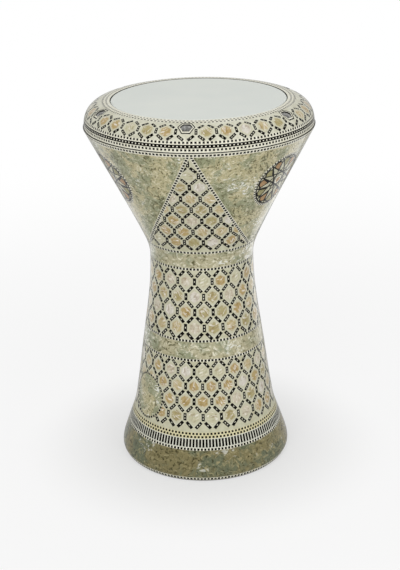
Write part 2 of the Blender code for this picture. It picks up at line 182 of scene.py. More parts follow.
# %% [markdown]
# The cover ring is a casting that turns over from its side to its top. An arc would be too thin at the
# shoulder, so its section is a quarter of a superellipse, a curve between an ellipse and a rectangle:
# radius = eye + (outer - eye) sin(t)^(2/n) and height = side + (top - side) cos(t)^(2/n). Its sizes come
# from the frame. It runs from its outer edge up and in to the eye, so that its outside faces as the body's
# does.

# %% Profile of the cover ring
RING_POWER = 2.34

side_low, side_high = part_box("ring_side_strips")
eye_points = node_points("ring_inner_strip")
ring_eye = np.hypot(eye_points[:, 0], eye_points[:, 1]).min()
ring_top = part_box("ring_inner_strip")[1].z
sweep = np.linspace(math.pi / 2, 0.0, TABLE_STEPS)
ring = Profile(
    ring_eye + (side_high.x - ring_eye) * np.sin(sweep) ** (2 / RING_POWER),
    side_low.z + (ring_top - side_low.z) * np.abs(np.cos(sweep)) ** (2 / RING_POWER),
)
print("ring from radius", round(side_high.x, 4), "to", round(ring_eye, 4))

# %% [markdown]
# Marquetry is many thin pieces fitted edge to edge. It could be an image, but an image blurs close up, and
# boolean cuts would fail on thousands of small shapes. So a drawing is a list of flat shapes, each with a
# paint, laid over one another as paper cut-outs would be. To cut a band out of it, a constrained Delaunay
# triangulation takes every shape's edges and a grid, and gives triangles that no edge crosses. The last
# shape over a triangle gives its paint.

# %% Drawings and how they are cut
HOLE = "hole"
SEAM = 1e-6
KEEP_INSIDE = 1


class Drawing:
    """Flat shapes in (turn, q) on a ground. A later shape covers an earlier one."""

    def __init__(self, ground):
        self.paints = [ground]
        self.shapes = []
        self.centres = [(0.0, 0.0)]
        self.sizes = [(1.0, 1.0)]

    def add(self, points, paint, size=(1.0, 1.0), centre=None):
        points = np.asarray(points, float)
        ahead = np.roll(points, -1, axis=0)
        area = (points[:, 0] * ahead[:, 1] - ahead[:, 0] * points[:, 1]).sum()
        self.shapes.append(points if area > 0 else points[::-1])
        self.paints.append(paint)
        self.centres.append(points.mean(0) if centre is None else centre)
        self.sizes.append(size)

    def cut(self, low, high, columns, rows):
        """Corner positions (faces, 3, 2), joined corner numbers (faces, 3) and each face's shape."""
        half = math.pi
        flat = [np.array([(-half, low), (half, low), (half, high), (-half, high)])]
        owner = [0]
        for number, points in enumerate(self.shapes, 1):
            for shift in (0.0, -math.tau, math.tau):
                moved = points + (shift, 0.0)
                if moved[:, 0].max() > -half and moved[:, 0].min() < half:
                    flat.append(moved)
                    owner.append(number)
        starts = np.cumsum([0] + [len(points) for points in flat])
        faces = [list(range(a, b)) for a, b in zip(starts, starts[1:])]
        turns = np.linspace(-half, half, columns + 1)[1:-1]
        levels = np.linspace(low, high, rows + 1)[1:-1]
        upright = np.stack([np.repeat(turns, 2), np.tile([low, high], len(turns))], 1)
        level = np.stack([np.tile([-half, half], len(levels)), np.repeat(levels, 2)], 1)
        verts = np.concatenate(flat + [upright, level])
        edges = [(i, i + 1) for i in range(starts[-1], len(verts), 2)]
        cut = delaunay_2d_cdt(verts.tolist(), edges, faces, KEEP_INSIDE, SEAM / 10, True)
        points = np.array([tuple(point) for point in cut[0]])
        triangles, sources = np.array(cut[2]), cut[5]
        top = np.array([owner[max(source)] if source else 0 for source in sources])
        middle = points[triangles].mean(1)
        inside = (np.abs(middle[:, 0]) < half) & (middle[:, 1] > low) & (middle[:, 1] < high)
        solid = np.array([paint != HOLE for paint in self.paints])[top]
        keep = inside & solid
        corners = points[triangles[keep]]
        return corners, joined_at_seam(points, triangles[keep]), top[keep]


def joined_at_seam(points, triangles):
    """Corner numbers where a point on the right edge is the point as high on the left edge."""
    left = np.flatnonzero(np.abs(points[:, 0] + math.pi) < SEAM)
    right = np.flatnonzero(np.abs(points[:, 0] - math.pi) < SEAM)
    left = left[np.argsort(points[left, 1])]
    right = right[np.argsort(points[right, 1])]
    swap = np.arange(len(points))
    swap[right] = left
    return swap[triangles]


# %% [markdown]
# A real veneer is a slip a millimetre thick, with a face, a back and edges. A Solidify modifier could give
# it that, but it would lose the exact normals of the turned surface, and the gloss of the resin would show
# every triangle. So the back is made here: the same triangles moved in along the normals and turned over,
# and wherever a triangle's edge has no neighbour a narrow wall joins the two. The face keeps the true
# normals.

# %% Meshes with their own normals
paint_materials = {}


def free_edges(triangles):
    """Directed edges (from, to) that only one triangle uses."""
    edges = np.concatenate([triangles[:, [0, 1]], triangles[:, [1, 2]], triangles[:, [2, 0]]])
    keys = np.sort(edges, 1)
    _, index, count = np.unique(keys, axis=0, return_inverse=True, return_counts=True)
    return edges[count[index.ravel()] == 1]


def make_mesh(name, points, triangles, normals, tile_uv, paint, seed):
    """A mesh with corner normals, a UV map of each tile's own coordinates, and a random value per tile."""
    mesh = bpy.data.meshes.new(name)
    mesh.from_pydata(points, [], triangles)
    used = sorted(set(paint))
    for word in used:
        mesh.materials.append(paint_materials[word])
    numbers = {word: i for i, word in enumerate(used)}
    mesh.polygons.foreach_set("material_index", np.array([numbers[word] for word in paint], np.int32))
    mesh.uv_layers.new(name="tile").data.foreach_set("uv", tile_uv.astype(np.float32).ravel())
    mesh.attributes.new("seed", "FLOAT", "FACE").data.foreach_set("value", seed.astype(np.float32))
    mesh.polygons.foreach_set("use_smooth", np.ones(len(triangles), bool))
    mesh.normals_split_custom_set(normals.reshape(-1, 3).tolist())
    mesh.update()
    piece = bpy.data.objects.new(name, mesh)
    bpy.context.collection.objects.link(piece)
    return piece


# %% Veneers
VENEER_T = 0.0012


def veneer(name, drawing, profile, low, high, columns, rows):
    """Cuts a drawing between two values of q, wraps it on a profile and gives it a back and edges.

    The face is point(turn, q) and the back is point - thickness * normal.
    """
    drawn, triangles, top = drawing.cut(low, high, columns, rows)
    used, index = np.unique(triangles, return_inverse=True)
    triangles = index.reshape(-1, 3)
    flat = np.zeros((len(used), 2))
    flat[triangles.ravel()] = drawn.reshape(-1, 2)
    points, normals = profile.wrap(flat)
    back = triangles[:, ::-1] + len(points)
    edges = free_edges(triangles)
    inner = edges + len(points)
    wall = np.concatenate([
        np.stack([edges[:, 1], edges[:, 0], inner[:, 0]], 1),
        np.stack([edges[:, 1], inner[:, 0], inner[:, 1]], 1),
    ])
    all_points = np.concatenate([points, points - VENEER_T * normals])
    faces = np.concatenate([triangles, back, wall])
    both = np.concatenate([normals, -normals])
    corner_normals = np.concatenate([both[triangles], both[back], np.zeros((len(wall), 3, 3))])
    centres, sizes = np.array(drawing.centres), np.array(drawing.sizes)
    middle = drawn.mean(1)[:, 0]
    turns = np.round((middle - centres[top][:, 0]) / math.tau) * math.tau
    offset = drawn - centres[top][:, None] - np.stack([turns, turns * 0.0], 1)[:, None]
    face_uv = offset / sizes[top][:, None]
    plain = np.zeros((len(back) + len(wall), 3, 2))
    random = np.random.default_rng(len(name)).random(len(drawing.paints))
    seed = np.concatenate([random[top], np.zeros(len(plain))])
    paint = [drawing.paints[i] for i in top] + ["backing"] * len(plain)
    piece = make_mesh(name, all_points, faces, corner_normals, np.concatenate([face_uv, plain]), paint, seed)
    print(name, len(faces), "triangles")
    return piece


def fit(piece, body_name, slot, *nodes):
    """Lets a piece ride on a body and stand for CAD nodes. The slot is not used."""
    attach(piece, body_name)
    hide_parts(*nodes)


print("veneers are", 1000 * VENEER_T, "mm thick")

# %% [markdown]
# The inlayer saws rods of wood and bone and slices them, so the same few shapes come again and again:
# square dots, bars and lines. They could be drawn one by one, but a function for each keeps the count and
# the size apart. Each is a few points round a centre, in the drawing's own units.

# %% Dots, bars and lines
def bar(centre, angle, length, width):
    """A rectangle about its centre, with its length along the angle."""
    along = np.array([math.cos(angle), math.sin(angle)])
    across = np.array([-along[1], along[0]])
    corners = np.array([(-1, -1), (1, -1), (1, 1), (-1, 1)]) / 2
    return np.asarray(centre) + corners[:, :1] * length * along + corners[:, 1:] * width * across


def regular(centre, radius, sides, first=0.0):
    """A regular polygon, or a circle with many sides."""
    turns = first + math.tau * np.arange(sides) / sides
    return np.asarray(centre) + radius * np.stack([np.cos(turns), np.sin(turns)], 1)


def dot_row(drawing, profile, q, count, size, paint, first=0.0, tall=1.0):
    """Even square dots round a turned surface, size in metres."""
    side = size / profile.radius_at(q)
    for k in range(count):
        turn = first + math.tau * (k + 0.5) / count - math.pi
        drawing.add(bar((turn, q), 0.0, side, side * tall), paint)


def ring_line(drawing, profile, q, width, paint, parts=72):
    """A line round a turned surface, as a chain of flat bars, width in metres."""
    tall = width / profile.radius_at(q)
    for k in range(parts):
        turn = math.tau * (k + 0.5) / parts - math.pi
        drawing.add(bar((turn, q), 0.0, math.tau / parts, tall), paint)


# %% [markdown]
# The lattices look like chains round hexagons of pearl. Each link is a black slip with one or two pale
# squares let into it, and each hexagon is a cell with a corner up. A repeating tile would show its seam on
# a surface that flares, so links and cells are placed one by one, in fractions of the pitch between two
# cells. The same functions then serve the column, the bowl's panels and the ring, which pass their own way
# of placing and trimming points.

# %% Links
LINK_LENGTH = 0.446
UPRIGHT_LENGTH = 0.415
LINK_WIDTH = 0.172
SPOT = 0.054
SPOT_LENGTH = 0.080
SPOT_STEP = 0.082
ONE_SPOT_SHARE = 0.45

random_numbers = np.random.default_rng(7)


def same(points):
    """Leaves points as they are."""
    return points


def add_link(drawing, centre, angle, pitch, place=same, keep=same):
    """One chain link of a lattice with this pitch. place moves its points, keep trims them."""
    along = np.array([math.cos(angle), math.sin(angle)])
    length = UPRIGHT_LENGTH if angle == math.pi / 2 else LINK_LENGTH
    slip = keep(bar(centre, angle, length * pitch, LINK_WIDTH * pitch))
    if len(slip) < 3:
        return
    drawing.add(place(slip), "ebony")
    steps = (0.0,) if random_numbers.random() < ONE_SPOT_SHARE else (-SPOT_STEP, SPOT_STEP)
    for step in steps:
        spot = keep(bar(centre + along * step * pitch, angle, SPOT_LENGTH * pitch, SPOT * pitch))
        if len(spot) > 2:
            drawing.add(place(spot), "spot_bone")


print("a link is", round(LINK_LENGTH / LINK_WIDTH, 1), "times as long as wide")

# %% Pearl cells
CELL_INSET = 0.088
SLANT_RISE = 0.546
PEARL_TALL = 1.08


def cell_outline(step, rise, inset):
    """A hexagon with a corner up, for a pitch of 1 and rows a step apart.

    Its slanted sides climb by the rise, and all its sides are moved in by the inset.
    """
    upright = step - rise
    half = 0.5 - inset
    top = step - upright / 2 - inset * math.hypot(1.0, rise / 0.5)
    shoulder = top - half * rise / 0.5
    left = [(0, top), (-half, shoulder), (-half, -shoulder)]
    right = [(0, -top), (half, -shoulder), (half, shoulder)]
    return np.array(left + right)


def add_cell(drawing, centre, pitch, step, rise, place=same, keep=same, unroll=same, grow=1.0):
    """One pearl cell of a lattice. grow gives the drawing's units for one unit of the cell's plan."""
    cell = keep(np.asarray(centre) + cell_outline(step, rise, CELL_INSET) * pitch)
    if len(cell) > 2:
        half = pitch / 2 * grow
        drawing.add(place(cell), "pearl", (half, half * PEARL_TALL), place(unroll(np.array([centre])))[0])


print("a cell is", round(2 * cell_outline(1.0, SLANT_RISE, CELL_INSET)[4][0], 3), "of its pitch wide")


# %% Lattices
def add_lattice(drawing, cells, first, rows, rise=SLANT_RISE, step=None, skip=None, link_size=1.0,
                pearl_size=1.0):
    """Rows of hexagons with a corner up, each with a pearl, and a link on each side.

    The rows lie at the given values of q, and every other row is shifted by half a pitch. A row's links are
    those to its right and above it, and the last row also has those below it.
    """
    pitch = math.tau / cells
    lean = math.atan2(rise, 0.5)
    rows = np.asarray(rows, float)
    steps = -np.diff(rows) / pitch if len(rows) > 1 else np.array([step])
    for row, q in enumerate(rows):
        above = steps[max(row - 1, 0)]
        below = steps[min(row, len(steps) - 1)]
        for k in range(cells):
            turn = first + pitch * (k + 0.5 * (row % 2))
            taken = skip is not None and skip(turn)
            if not taken:
                add_cell(drawing, (turn, q), pitch, (above + below) / 2, rise, grow=pearl_size)
            add_link(drawing, (turn + pitch / 2, q), math.pi / 2, pitch * link_size)
            for side in (-1, 1):
                if not taken:
                    middle = (turn + side * pitch / 4, q + above * pitch / 2)
                    add_link(drawing, middle, -side * lean, pitch * link_size)
                if row == len(rows) - 1:
                    middle = (turn + side * pitch / 4, q - below * pitch / 2)
                    add_link(drawing, middle, side * lean, pitch * link_size)


# %% [markdown]
# Next come the finishes. They could be painted images, but node materials stay sharp at any distance and
# can be changed by a number. A few helpers keep them short: one adds a node with its settings and inputs,
# and the others add the nodes that come most often, for sums, blends, steps and noise.

# %% Node helpers
def srgb(red, green, blue):
    """A colour read as it shows on screen, 0 to 255, as the linear numbers that a shader takes."""
    value = np.array([red, green, blue]) / 255
    linear = np.where(value <= 0.04045, value / 12.92, ((value + 0.055) / 1.055) ** 2.4)
    return (*linear.tolist(), 1.0)


def feed(tree, node, inputs):
    """Sets or links a node's inputs, by name, or by number where the key is the letter i and a number."""
    for key, value in inputs.items():
        socket = node.inputs[int(key[1:])] if key[0] == "i" and key[1:].isdigit() else node.inputs[key]
        if isinstance(value, bpy.types.NodeSocket):
            tree.links.new(value, socket)
        else:
            socket.default_value = value


def add_node(tree, kind, settings=None, **inputs):
    """A node with its settings, and with inputs given as values or as sockets to link."""
    node = tree.nodes.new(kind)
    for key, value in (settings or {}).items():
        setattr(node, key, value)
    feed(tree, node, inputs)
    return node


def maths(tree, operation, *values):
    """The result of a Math node."""
    inputs = {f"i{number}": value for number, value in enumerate(values)}
    return add_node(tree, "ShaderNodeMath", {"operation": operation}, **inputs).outputs[0]


def blend_colours(tree, factor, first, second):
    """The result of a colour Mix node, whose sockets 0, 6 and 7 are its factor and its two colours."""
    return add_node(tree, "ShaderNodeMix", {"data_type": "RGBA"}, i0=factor, i6=first, i7=second).outputs[2]


def between(tree, value, low, high):
    """A smooth step of a value from 0 at low to 1 at high."""
    node = add_node(tree, "ShaderNodeMapRange", {"interpolation_type": "SMOOTHSTEP"}, Value=value)
    node.inputs["From Min"].default_value = low
    node.inputs["From Max"].default_value = high
    return node.outputs[0]


def noise(tree, vector, scale, detail=2.0, roughness=0.5, distortion=0.0):
    """A Noise Texture node."""
    node = add_node(tree, "ShaderNodeTexNoise", Vector=vector, Scale=scale, Detail=detail)
    node.inputs["Roughness"].default_value = roughness
    node.inputs["Distortion"].default_value = distortion
    return node


# %% Node groups
COLOUR, VALUE, VECTOR = "NodeSocketColor", "NodeSocketFloat", "NodeSocketVector"


def new_group(name, inputs, outputs):
    """An empty node group with its sockets, given as (name, kind), and the group's own two ends."""
    tree = bpy.data.node_groups.new(name, "ShaderNodeTree")
    for word, kind in inputs:
        tree.interface.new_socket(word, in_out="INPUT", socket_type=kind)
    for word, kind in outputs:
        tree.interface.new_socket(word, in_out="OUTPUT", socket_type=kind)
    return tree, tree.nodes.new("NodeGroupInput").outputs, tree.nodes.new("NodeGroupOutput").inputs


def place_group(tree, group, **inputs):
    """The outputs of a group placed in a material."""
    node = tree.nodes.new("ShaderNodeGroup")
    node.node_tree = group
    feed(tree, node, inputs)
    return node.outputs


# %% [markdown]
# Everything on the drum's outside lies under a thick coat of clear resin, sanded and polished by hand. A
# perfectly even coat would look like glass, so a node group gives its slow waves and a finer ripple, as a
# height. All the inlay materials share it.

# %% Polished resin
WAVE_SCALE = 30.0
RIPPLE_SCALE = 130.0
RIPPLE_SHARE = 0.12

resin, takes, gives = new_group("polished_resin", [("Vector", VECTOR)], [("Height", VALUE)])
wave = noise(resin, takes["Vector"], WAVE_SCALE, 1.0).outputs["Fac"]
ripple = noise(resin, takes["Vector"], RIPPLE_SCALE, 1.0).outputs["Fac"]
resin.links.new(maths(resin, "MULTIPLY_ADD", ripple, RIPPLE_SHARE, wave), gives["Height"])
print("group", resin.name)

# %% [markdown]
# The plain fields are crushed shell: flakes laid at all angles, in olive, cream and grey, with white painted
# into a few of them as a painted glint, where a flake would flash in the light. One noise looks like stone.
# Three layers of long Voronoi cells, each turned another way and bent by a slow noise, look like flakes that
# overlap. A large noise gathers the green ones and the painted glints in patches, as a handful of flakes
# falls.

# %% Crushed shell
DRIFT_SCALE = 60.0
DRIFT_REACH = 0.016
SHARD_LENGTH = 2.4
SHARD_LAYERS = (((1.2, 0.5, 0.2), 430.0), ((-0.3, -1.1, 0.4), 360.0), ((0.5, 1.5, 0.9), 560.0))
PATCH_SCALE = 24.0
STREAK_SCALE = 330.0
GREEN_SCALE = 26.0
# The white of the painted glints, where flakes would catch the light.
PAINTED_GLINT_WHITE = srgb(246, 246, 236)

flake_colours = [(word, COLOUR) for word in ("Dark", "Middle", "Light", "Green")]
flakes, takes, gives = new_group(
    "shell_flakes", [("Vector", VECTOR)] + flake_colours + [("Flash", VALUE)],
    [("Color", COLOUR), ("Tilt", VALUE)],
)
drift = noise(flakes, takes["Vector"], DRIFT_SCALE, 2.0, 0.6)
bend = add_node(flakes, "ShaderNodeVectorMath", {"operation": "MULTIPLY_ADD"}, i0=drift.outputs["Color"])
bend.inputs[1].default_value = (DRIFT_REACH, DRIFT_REACH, DRIFT_REACH)
flakes.links.new(takes["Vector"], bend.inputs[2])


def shard_layer(tree, vector, turn, scale):
    """Random values of long cells that lie at an angle."""
    laid = add_node(tree, "ShaderNodeMapping", {"vector_type": "TEXTURE"}, Vector=vector)
    laid.inputs["Rotation"].default_value = turn
    laid.inputs["Scale"].default_value = (1.0, 1.0, SHARD_LENGTH)
    cells = add_node(tree, "ShaderNodeTexVoronoi", Vector=laid.outputs[0], Scale=scale)
    return add_node(tree, "ShaderNodeSeparateColor", Color=cells.outputs["Color"]).outputs


first, second, third = (shard_layer(flakes, bend.outputs[0], turn, scale) for turn, scale in SHARD_LAYERS)
patch = noise(flakes, takes["Vector"], PATCH_SCALE, 3.0, 0.6).outputs["Fac"]
streaks = noise(flakes, bend.outputs[0], STREAK_SCALE, 3.0, 0.65, 1.5).outputs["Fac"]
on_top = maths(flakes, "GREATER_THAN", first[1], 0.45)
tone = maths(flakes, "MULTIPLY", first[0], on_top)
tone = maths(flakes, "MULTIPLY_ADD", second[0], maths(flakes, "SUBTRACT", 1.0, on_top), tone)
tone = maths(flakes, "MULTIPLY_ADD", tone, 0.55, maths(flakes, "MULTIPLY", third[0], 0.25))
tone = maths(flakes, "MULTIPLY_ADD", streaks, 0.9, maths(flakes, "SUBTRACT", tone, 0.35))
tone = maths(flakes, "MULTIPLY_ADD", patch, 0.6, maths(flakes, "SUBTRACT", tone, 0.30))
green_place = noise(flakes, bend.outputs[0], GREEN_SCALE, 4.0, 0.6, 0.5).outputs["Fac"]
greenish = blend_colours(flakes, between(flakes, green_place, 0.46, 0.58), takes["Middle"], takes["Green"])
low_tone = blend_colours(flakes, between(flakes, tone, 0.08, 0.42), takes["Dark"], greenish)
full_tone = blend_colours(flakes, between(flakes, tone, 0.56, 0.98), low_tone, takes["Light"])
# Painted glint: a few cells in bright patches are mixed to white, for flakes that catch the light.
few = maths(flakes, "GREATER_THAN", third[1], 0.76)
glint_patches = maths(flakes, "MULTIPLY", few, between(flakes, patch, 0.57, 0.62))
flash = maths(flakes, "MULTIPLY", glint_patches, takes["Flash"])
flakes.links.new(blend_colours(flakes, flash, full_tone, PAINTED_GLINT_WHITE), gives["Color"])
flakes.links.new(maths(flakes, "ADD", first[2], second[2]), gives["Tilt"])
print("group", flakes.name)

# %% [markdown]
# Under the resin lie black wood, bone and shell. Glass laid over the inlay as a second mesh would be dark
# at the edges and slow, so each material keeps its Principled shader in the open: base colour below, and
# the resin as a clear coat above. The slips have a faint grain that tells real ones from paint.

# %% Materials under resin
COAT_IOR = 1.20
COAT_ROUGHNESS = 0.07
RESIN_WAVE = 0.0005
SLIP_ROUGHNESS = 0.42
FLAKE_ROUGHNESS = 0.28
FLAKE_TILT = 0.00025


def start_material(name):
    """A new material, its node tree, its Principled shader and its Object coordinates."""
    material = bpy.data.materials.new(name)
    material.use_nodes = True
    tree = material.node_tree
    coords = tree.nodes.new("ShaderNodeTexCoord").outputs["Object"]
    return material, tree, tree.nodes["Principled BSDF"], coords


def under_resin(tree, shader, coords, colour, shine=0.0, tilt=None):
    """Base colour below a clear coat whose slow waves come from the resin group.

    shine is how much the material below gleams, and tilt is a height that sets its flakes at angles.
    """
    coat = place_group(tree, resin, Vector=coords)
    bump = add_node(tree, "ShaderNodeBump", Height=coat["Height"], Distance=RESIN_WAVE)
    tree.links.new(colour, shader.inputs["Base Color"])
    tree.links.new(bump.outputs[0], shader.inputs["Coat Normal"])
    shader.inputs["Coat Weight"].default_value = 1.0
    shader.inputs["Coat Roughness"].default_value = COAT_ROUGHNESS
    shader.inputs["Coat IOR"].default_value = COAT_IOR
    shader.inputs["Roughness"].default_value = SLIP_ROUGHNESS
    shader.inputs["Specular IOR Level"].default_value = shine
    below = bump
    if tilt is not None:
        below = add_node(tree, "ShaderNodeBump", Height=tilt, Distance=FLAKE_TILT)
        shader.inputs["Roughness"].default_value = FLAKE_ROUGHNESS
    tree.links.new(below.outputs[0], shader.inputs["Normal"])


def slip_material(name, first, second, scale):
    """Plain slips: two near colours mixed by a stretched grain."""
    material, tree, shader, coords = start_material(name)
    grain = noise(tree, coords, scale, 4.0, 0.6, 0.4).outputs["Fac"]
    colour = blend_colours(tree, between(tree, grain, 0.35, 0.65), first, second)
    under_resin(tree, shader, coords, colour)
    paint_materials[name] = material


slip_material("ebony", srgb(8, 7, 4), srgb(20, 18, 11), 320.0)
slip_material("bone", srgb(249, 247, 230), srgb(239, 236, 214), 180.0)
slip_material("spot_bone", srgb(232, 231, 212), srgb(206, 204, 182), 300.0)
slip_material("yellow_bone", srgb(236, 229, 190), srgb(222, 214, 170), 160.0)
slip_material("brown_dot", srgb(18, 14, 6), srgb(34, 28, 14), 300.0)
slip_material("frame_bone", srgb(216, 214, 188), srgb(202, 199, 170), 110.0)
# Painted reflection: the ring's bone is a lighter copy of the frame's bone, for the reflection that washes
# the top of the ring.
slip_material("ring_bone", srgb(228, 227, 208), srgb(214, 212, 190), 110.0)
slip_material("bar_ground", srgb(234, 234, 220), srgb(216, 216, 200), 200.0)
slip_material("petal_brown", srgb(190, 156, 116), srgb(172, 138, 98), 140.0)
slip_material("petal_green", srgb(176, 170, 124), srgb(152, 147, 104), 140.0)
slip_material("backing", srgb(60, 58, 52), srgb(70, 68, 60), 60.0)


print(len(paint_materials), "slips")

# %% [markdown]
# The same crushed shell lies in three fields, but not in the same light: the foot's is olive, the waist's
# and the neck's paler and coarser. Three textures would drift apart when one is changed, so each field
# places the one group with its own four colours, its share of painted white glints and its flakes' size.

# %% Flake paints
FLAKE_SHINE = 0.2


def flake_material(name, colours, flash, size):
    """Crushed shell under resin, in four colours: dark, middle, light and green."""
    material, tree, shader, coords = start_material(name)
    spread = add_node(tree, "ShaderNodeMapping", Vector=coords)
    spread.inputs["Scale"].default_value = (1 / size, 1 / size, 1 / size)
    colours = dict(zip(("Dark", "Middle", "Light", "Green"), [srgb(*colour) for colour in colours]))
    shell = place_group(tree, flakes, Vector=spread.outputs[0], Flash=flash, **colours)
    under_resin(tree, shader, coords, shell["Color"], FLAKE_SHINE, shell["Tilt"])
    paint_materials[name] = material


BOWL_SHELL = ((96, 92, 54), (206, 197, 154), (244, 238, 212), (164, 167, 132))
FOOT_SHELL = ((60, 56, 30), (140, 131, 91), (176, 166, 124), (112, 118, 92))
WAIST_SHELL = ((102, 99, 64), (196, 189, 154), (248, 244, 222), (162, 166, 134))
flake_material("flake", BOWL_SHELL, 1.0, 0.8)
flake_material("foot_flake", FOOT_SHELL, 0.5, 1.05)
flake_material("waist_flake", WAIST_SHELL, 0.9, 1.1)
print(len(paint_materials), "paints")

# %% [markdown]
# A pearl cell is bone at its rim and mother-of-pearl in the middle, and no two are alike. One texture over
# the whole drum would run on from cell to cell, which real pieces never do. So each tile has its own
# coordinates in the tile UV map, from -1 to 1 across its pitch, and its own random value, which turns and
# shifts the noises and picks its kind of pearl. A distance that is even along a hexagon's sides fades the
# pearl out towards the rim.

# %% Pearl
PEARL_SHINE = 0.25
KINDS_SPREAD = 7.0
PLACES_SPREAD = 37.0
PEARL_KINDS = (
    (0.00, (190, 163, 102)), (0.20, (202, 184, 136)), (0.36, (208, 204, 170)), (0.50, (186, 158, 98)),
    (0.64, (218, 208, 186)), (0.78, (180, 167, 114)), (0.88, (228, 222, 210)),
)


def kinds_ramp(tree, seed):
    """The colour of a tile's kind of pearl, from its random value."""
    value = maths(tree, "FRACT", maths(tree, "MULTIPLY", seed, KINDS_SPREAD))
    node = add_node(tree, "ShaderNodeValToRGB", Fac=value)
    ramp = node.color_ramp
    ramp.interpolation = "CONSTANT"
    for number, (position, colour) in enumerate(PEARL_KINDS):
        stop = ramp.elements[number] if number < 2 else ramp.elements.new(position)
        stop.position, stop.color = position, srgb(*colour)
    return node.outputs[0]


def pearl_material(name):
    """Mother-of-pearl that fades to bone at the rim of its own tile."""
    material, tree, shader, coords = start_material(name)
    uv = add_node(tree, "ShaderNodeUVMap", {"uv_map": "tile"}).outputs[0]
    seed = add_node(tree, "ShaderNodeAttribute", {"attribute_name": "seed"}).outputs["Fac"]
    axes = add_node(tree, "ShaderNodeSeparateXYZ", Vector=uv).outputs
    x, y = maths(tree, "ABSOLUTE", axes[0]), maths(tree, "ABSOLUTE", axes[1])
    slanted = maths(tree, "ADD", maths(tree, "MULTIPLY", x, 0.5), maths(tree, "MULTIPLY", y, 0.90))
    reach = maths(tree, "MAXIMUM", x, slanted)
    far = maths(tree, "MULTIPLY", seed, PLACES_SPREAD)
    away = add_node(tree, "ShaderNodeCombineXYZ", X=far, Y=seed).outputs[0]
    turned = add_node(tree, "ShaderNodeVectorRotate", {"rotation_type": "Z_AXIS"}, Vector=uv)
    tree.links.new(maths(tree, "MULTIPLY", seed, math.tau), turned.inputs["Angle"])
    long = add_node(tree, "ShaderNodeVectorMath", {"operation": "MULTIPLY_ADD"}, i0=turned.outputs[0])
    long.inputs[1].default_value = (1.0, 2.0, 1.0)
    tree.links.new(away, long.inputs[2])
    cloud = noise(tree, long.outputs[0], 1.5, 3.0, 0.55, 0.5).outputs["Fac"]
    streak = noise(tree, long.outputs[0], 2.0, 3.0, 0.5, 1.0).outputs["Fac"]
    hue = noise(tree, long.outputs[0], 1.1, 1.0, 0.5, 0.3).outputs["Fac"]
    kind = kinds_ramp(tree, seed)
    dark = blend_colours(tree, 0.52, kind, srgb(142, 113, 60))
    tints = blend_colours(tree, between(tree, hue, 0.40, 0.60), srgb(206, 214, 184), srgb(228, 212, 186))
    pearl = blend_colours(tree, 0.12, kind, tints)
    pearl = blend_colours(tree, between(tree, cloud, 0.46, 0.66), pearl, dark)
    # Painted glint: near-white streaks in the pearl, where it would catch the light.
    painted_pearl_glint = maths(tree, "MULTIPLY", between(tree, streak, 0.51, 0.67), 0.78)
    pearl = blend_colours(tree, painted_pearl_glint, pearl, srgb(252, 247, 236))
    ragged = maths(tree, "ADD", reach, maths(tree, "MULTIPLY_ADD", cloud, 0.26, -0.13))
    colour = blend_colours(tree, between(tree, ragged, 0.45, 0.66), pearl, srgb(214, 211, 184))
    colour = blend_colours(tree, between(tree, reach, 0.76, 0.84), colour, srgb(224, 223, 200))
    under_resin(tree, shader, coords, colour, PEARL_SHINE, maths(tree, "MULTIPLY", streak, 2.0))
    paint_materials[name] = material


pearl_material("pearl")
print(len(PEARL_KINDS), "kinds of pearl")

# %% [markdown]
# Now the bands, from the floor up. On the real drum they butt edge to edge under the resin. Each could be
# cut to its CAD node's own two heights, but the CAD keeps a narrow gap between two solids, and it would
# show as a dark line. So the gap is shared out, and a band's edge is its neighbour's edge. Two edges are
# moved a little, to where the real strips at the foot and the rim end.

# %% Where the bands meet
COLUMNS = 120
EDGE_STRIP_TOP = 0.0060
RIM_STRIP_LOW = 0.0012

node_spans = {node: (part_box(node)[0].z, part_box(node)[1].z) for node in BODY_BANDS}
joints_between = [
    (node_spans[a][1] + node_spans[b][0]) / 2 for a, b in zip(BODY_BANDS, BODY_BANDS[1:])
]
joints_between[0] = EDGE_STRIP_TOP
joints_between[-1] -= RIM_STRIP_LOW
edges_up = [node_spans[BODY_BANDS[0]][0]] + joints_between + [body_heights[-1]]
edges_q = [body.q_at_height(height) for height in edges_up]
spans = {node: span for node, *span in zip(BODY_BANDS, edges_q, edges_q[1:])}


def clad(node, drawing, rows, slot, profile=body, columns=COLUMNS, rider="shell", name=None):
    """Covers a band's CAD node with its drawing, bent along this many columns and rows."""
    piece = veneer(name or node + "_inlay", drawing, profile, *spans[node], columns, rows)
    fit(piece, rider, slot, node)


print(len(spans), "bands on the body")

# %% [markdown]
# A dotted strip is bone stringing with square dots of ebony. The real one is sawn from a glued block, so
# its dots are even. A whole number of them goes round each band, or two would collide at the back.

# %% Strips
DOT = 0.0026
DOT_STEP = 0.0041
EDGE_DOT_TALL = 1.35
DOUBLE_DOT = 0.0025
DOUBLE_STEP = 0.0044
DOUBLE_ROWS = ((0.24, 0.0), (0.76, 0.5))


def dots_round(profile, q, step=DOT_STEP):
    """How many dots fit round the surface there."""
    return round(math.tau * profile.radius_at(q) / step)


for name in ("edge_strip", "foot_strip", "waist_strip_low", "waist_strip_high", "neck_strip_low",
             "neck_strip_high", "rim_strip"):
    middle = sum(spans[name]) / 2
    strip = Drawing("bone")
    tall = EDGE_DOT_TALL if name == "edge_strip" else 1.0
    dot_row(strip, body, middle, dots_round(body, middle), DOT, "ebony", 0.0, tall)
    clad(name, strip, 1, "dotted_strip")

low, high = spans["double_strip"]
strip = Drawing("yellow_bone")
count = dots_round(body, low, DOUBLE_STEP)
for share, shift in DOUBLE_ROWS:
    dot_row(strip, body, low + share * (high - low), count, DOUBLE_DOT, "brown_dot", shift * math.tau / count)
clad("double_strip", strip, 2, "dotted_strip")

# %% [markdown]
# The barred band is black bars on a pale ground, upright all the way round. They could be a striped
# texture, but as pieces they share the strips' ebony and its grain, and their ends stop short of the band's
# edges.

# %% Barred band
BAR_STEP = 0.0039
BAR_SHARE = 0.63
BAR_TALL = 0.0096

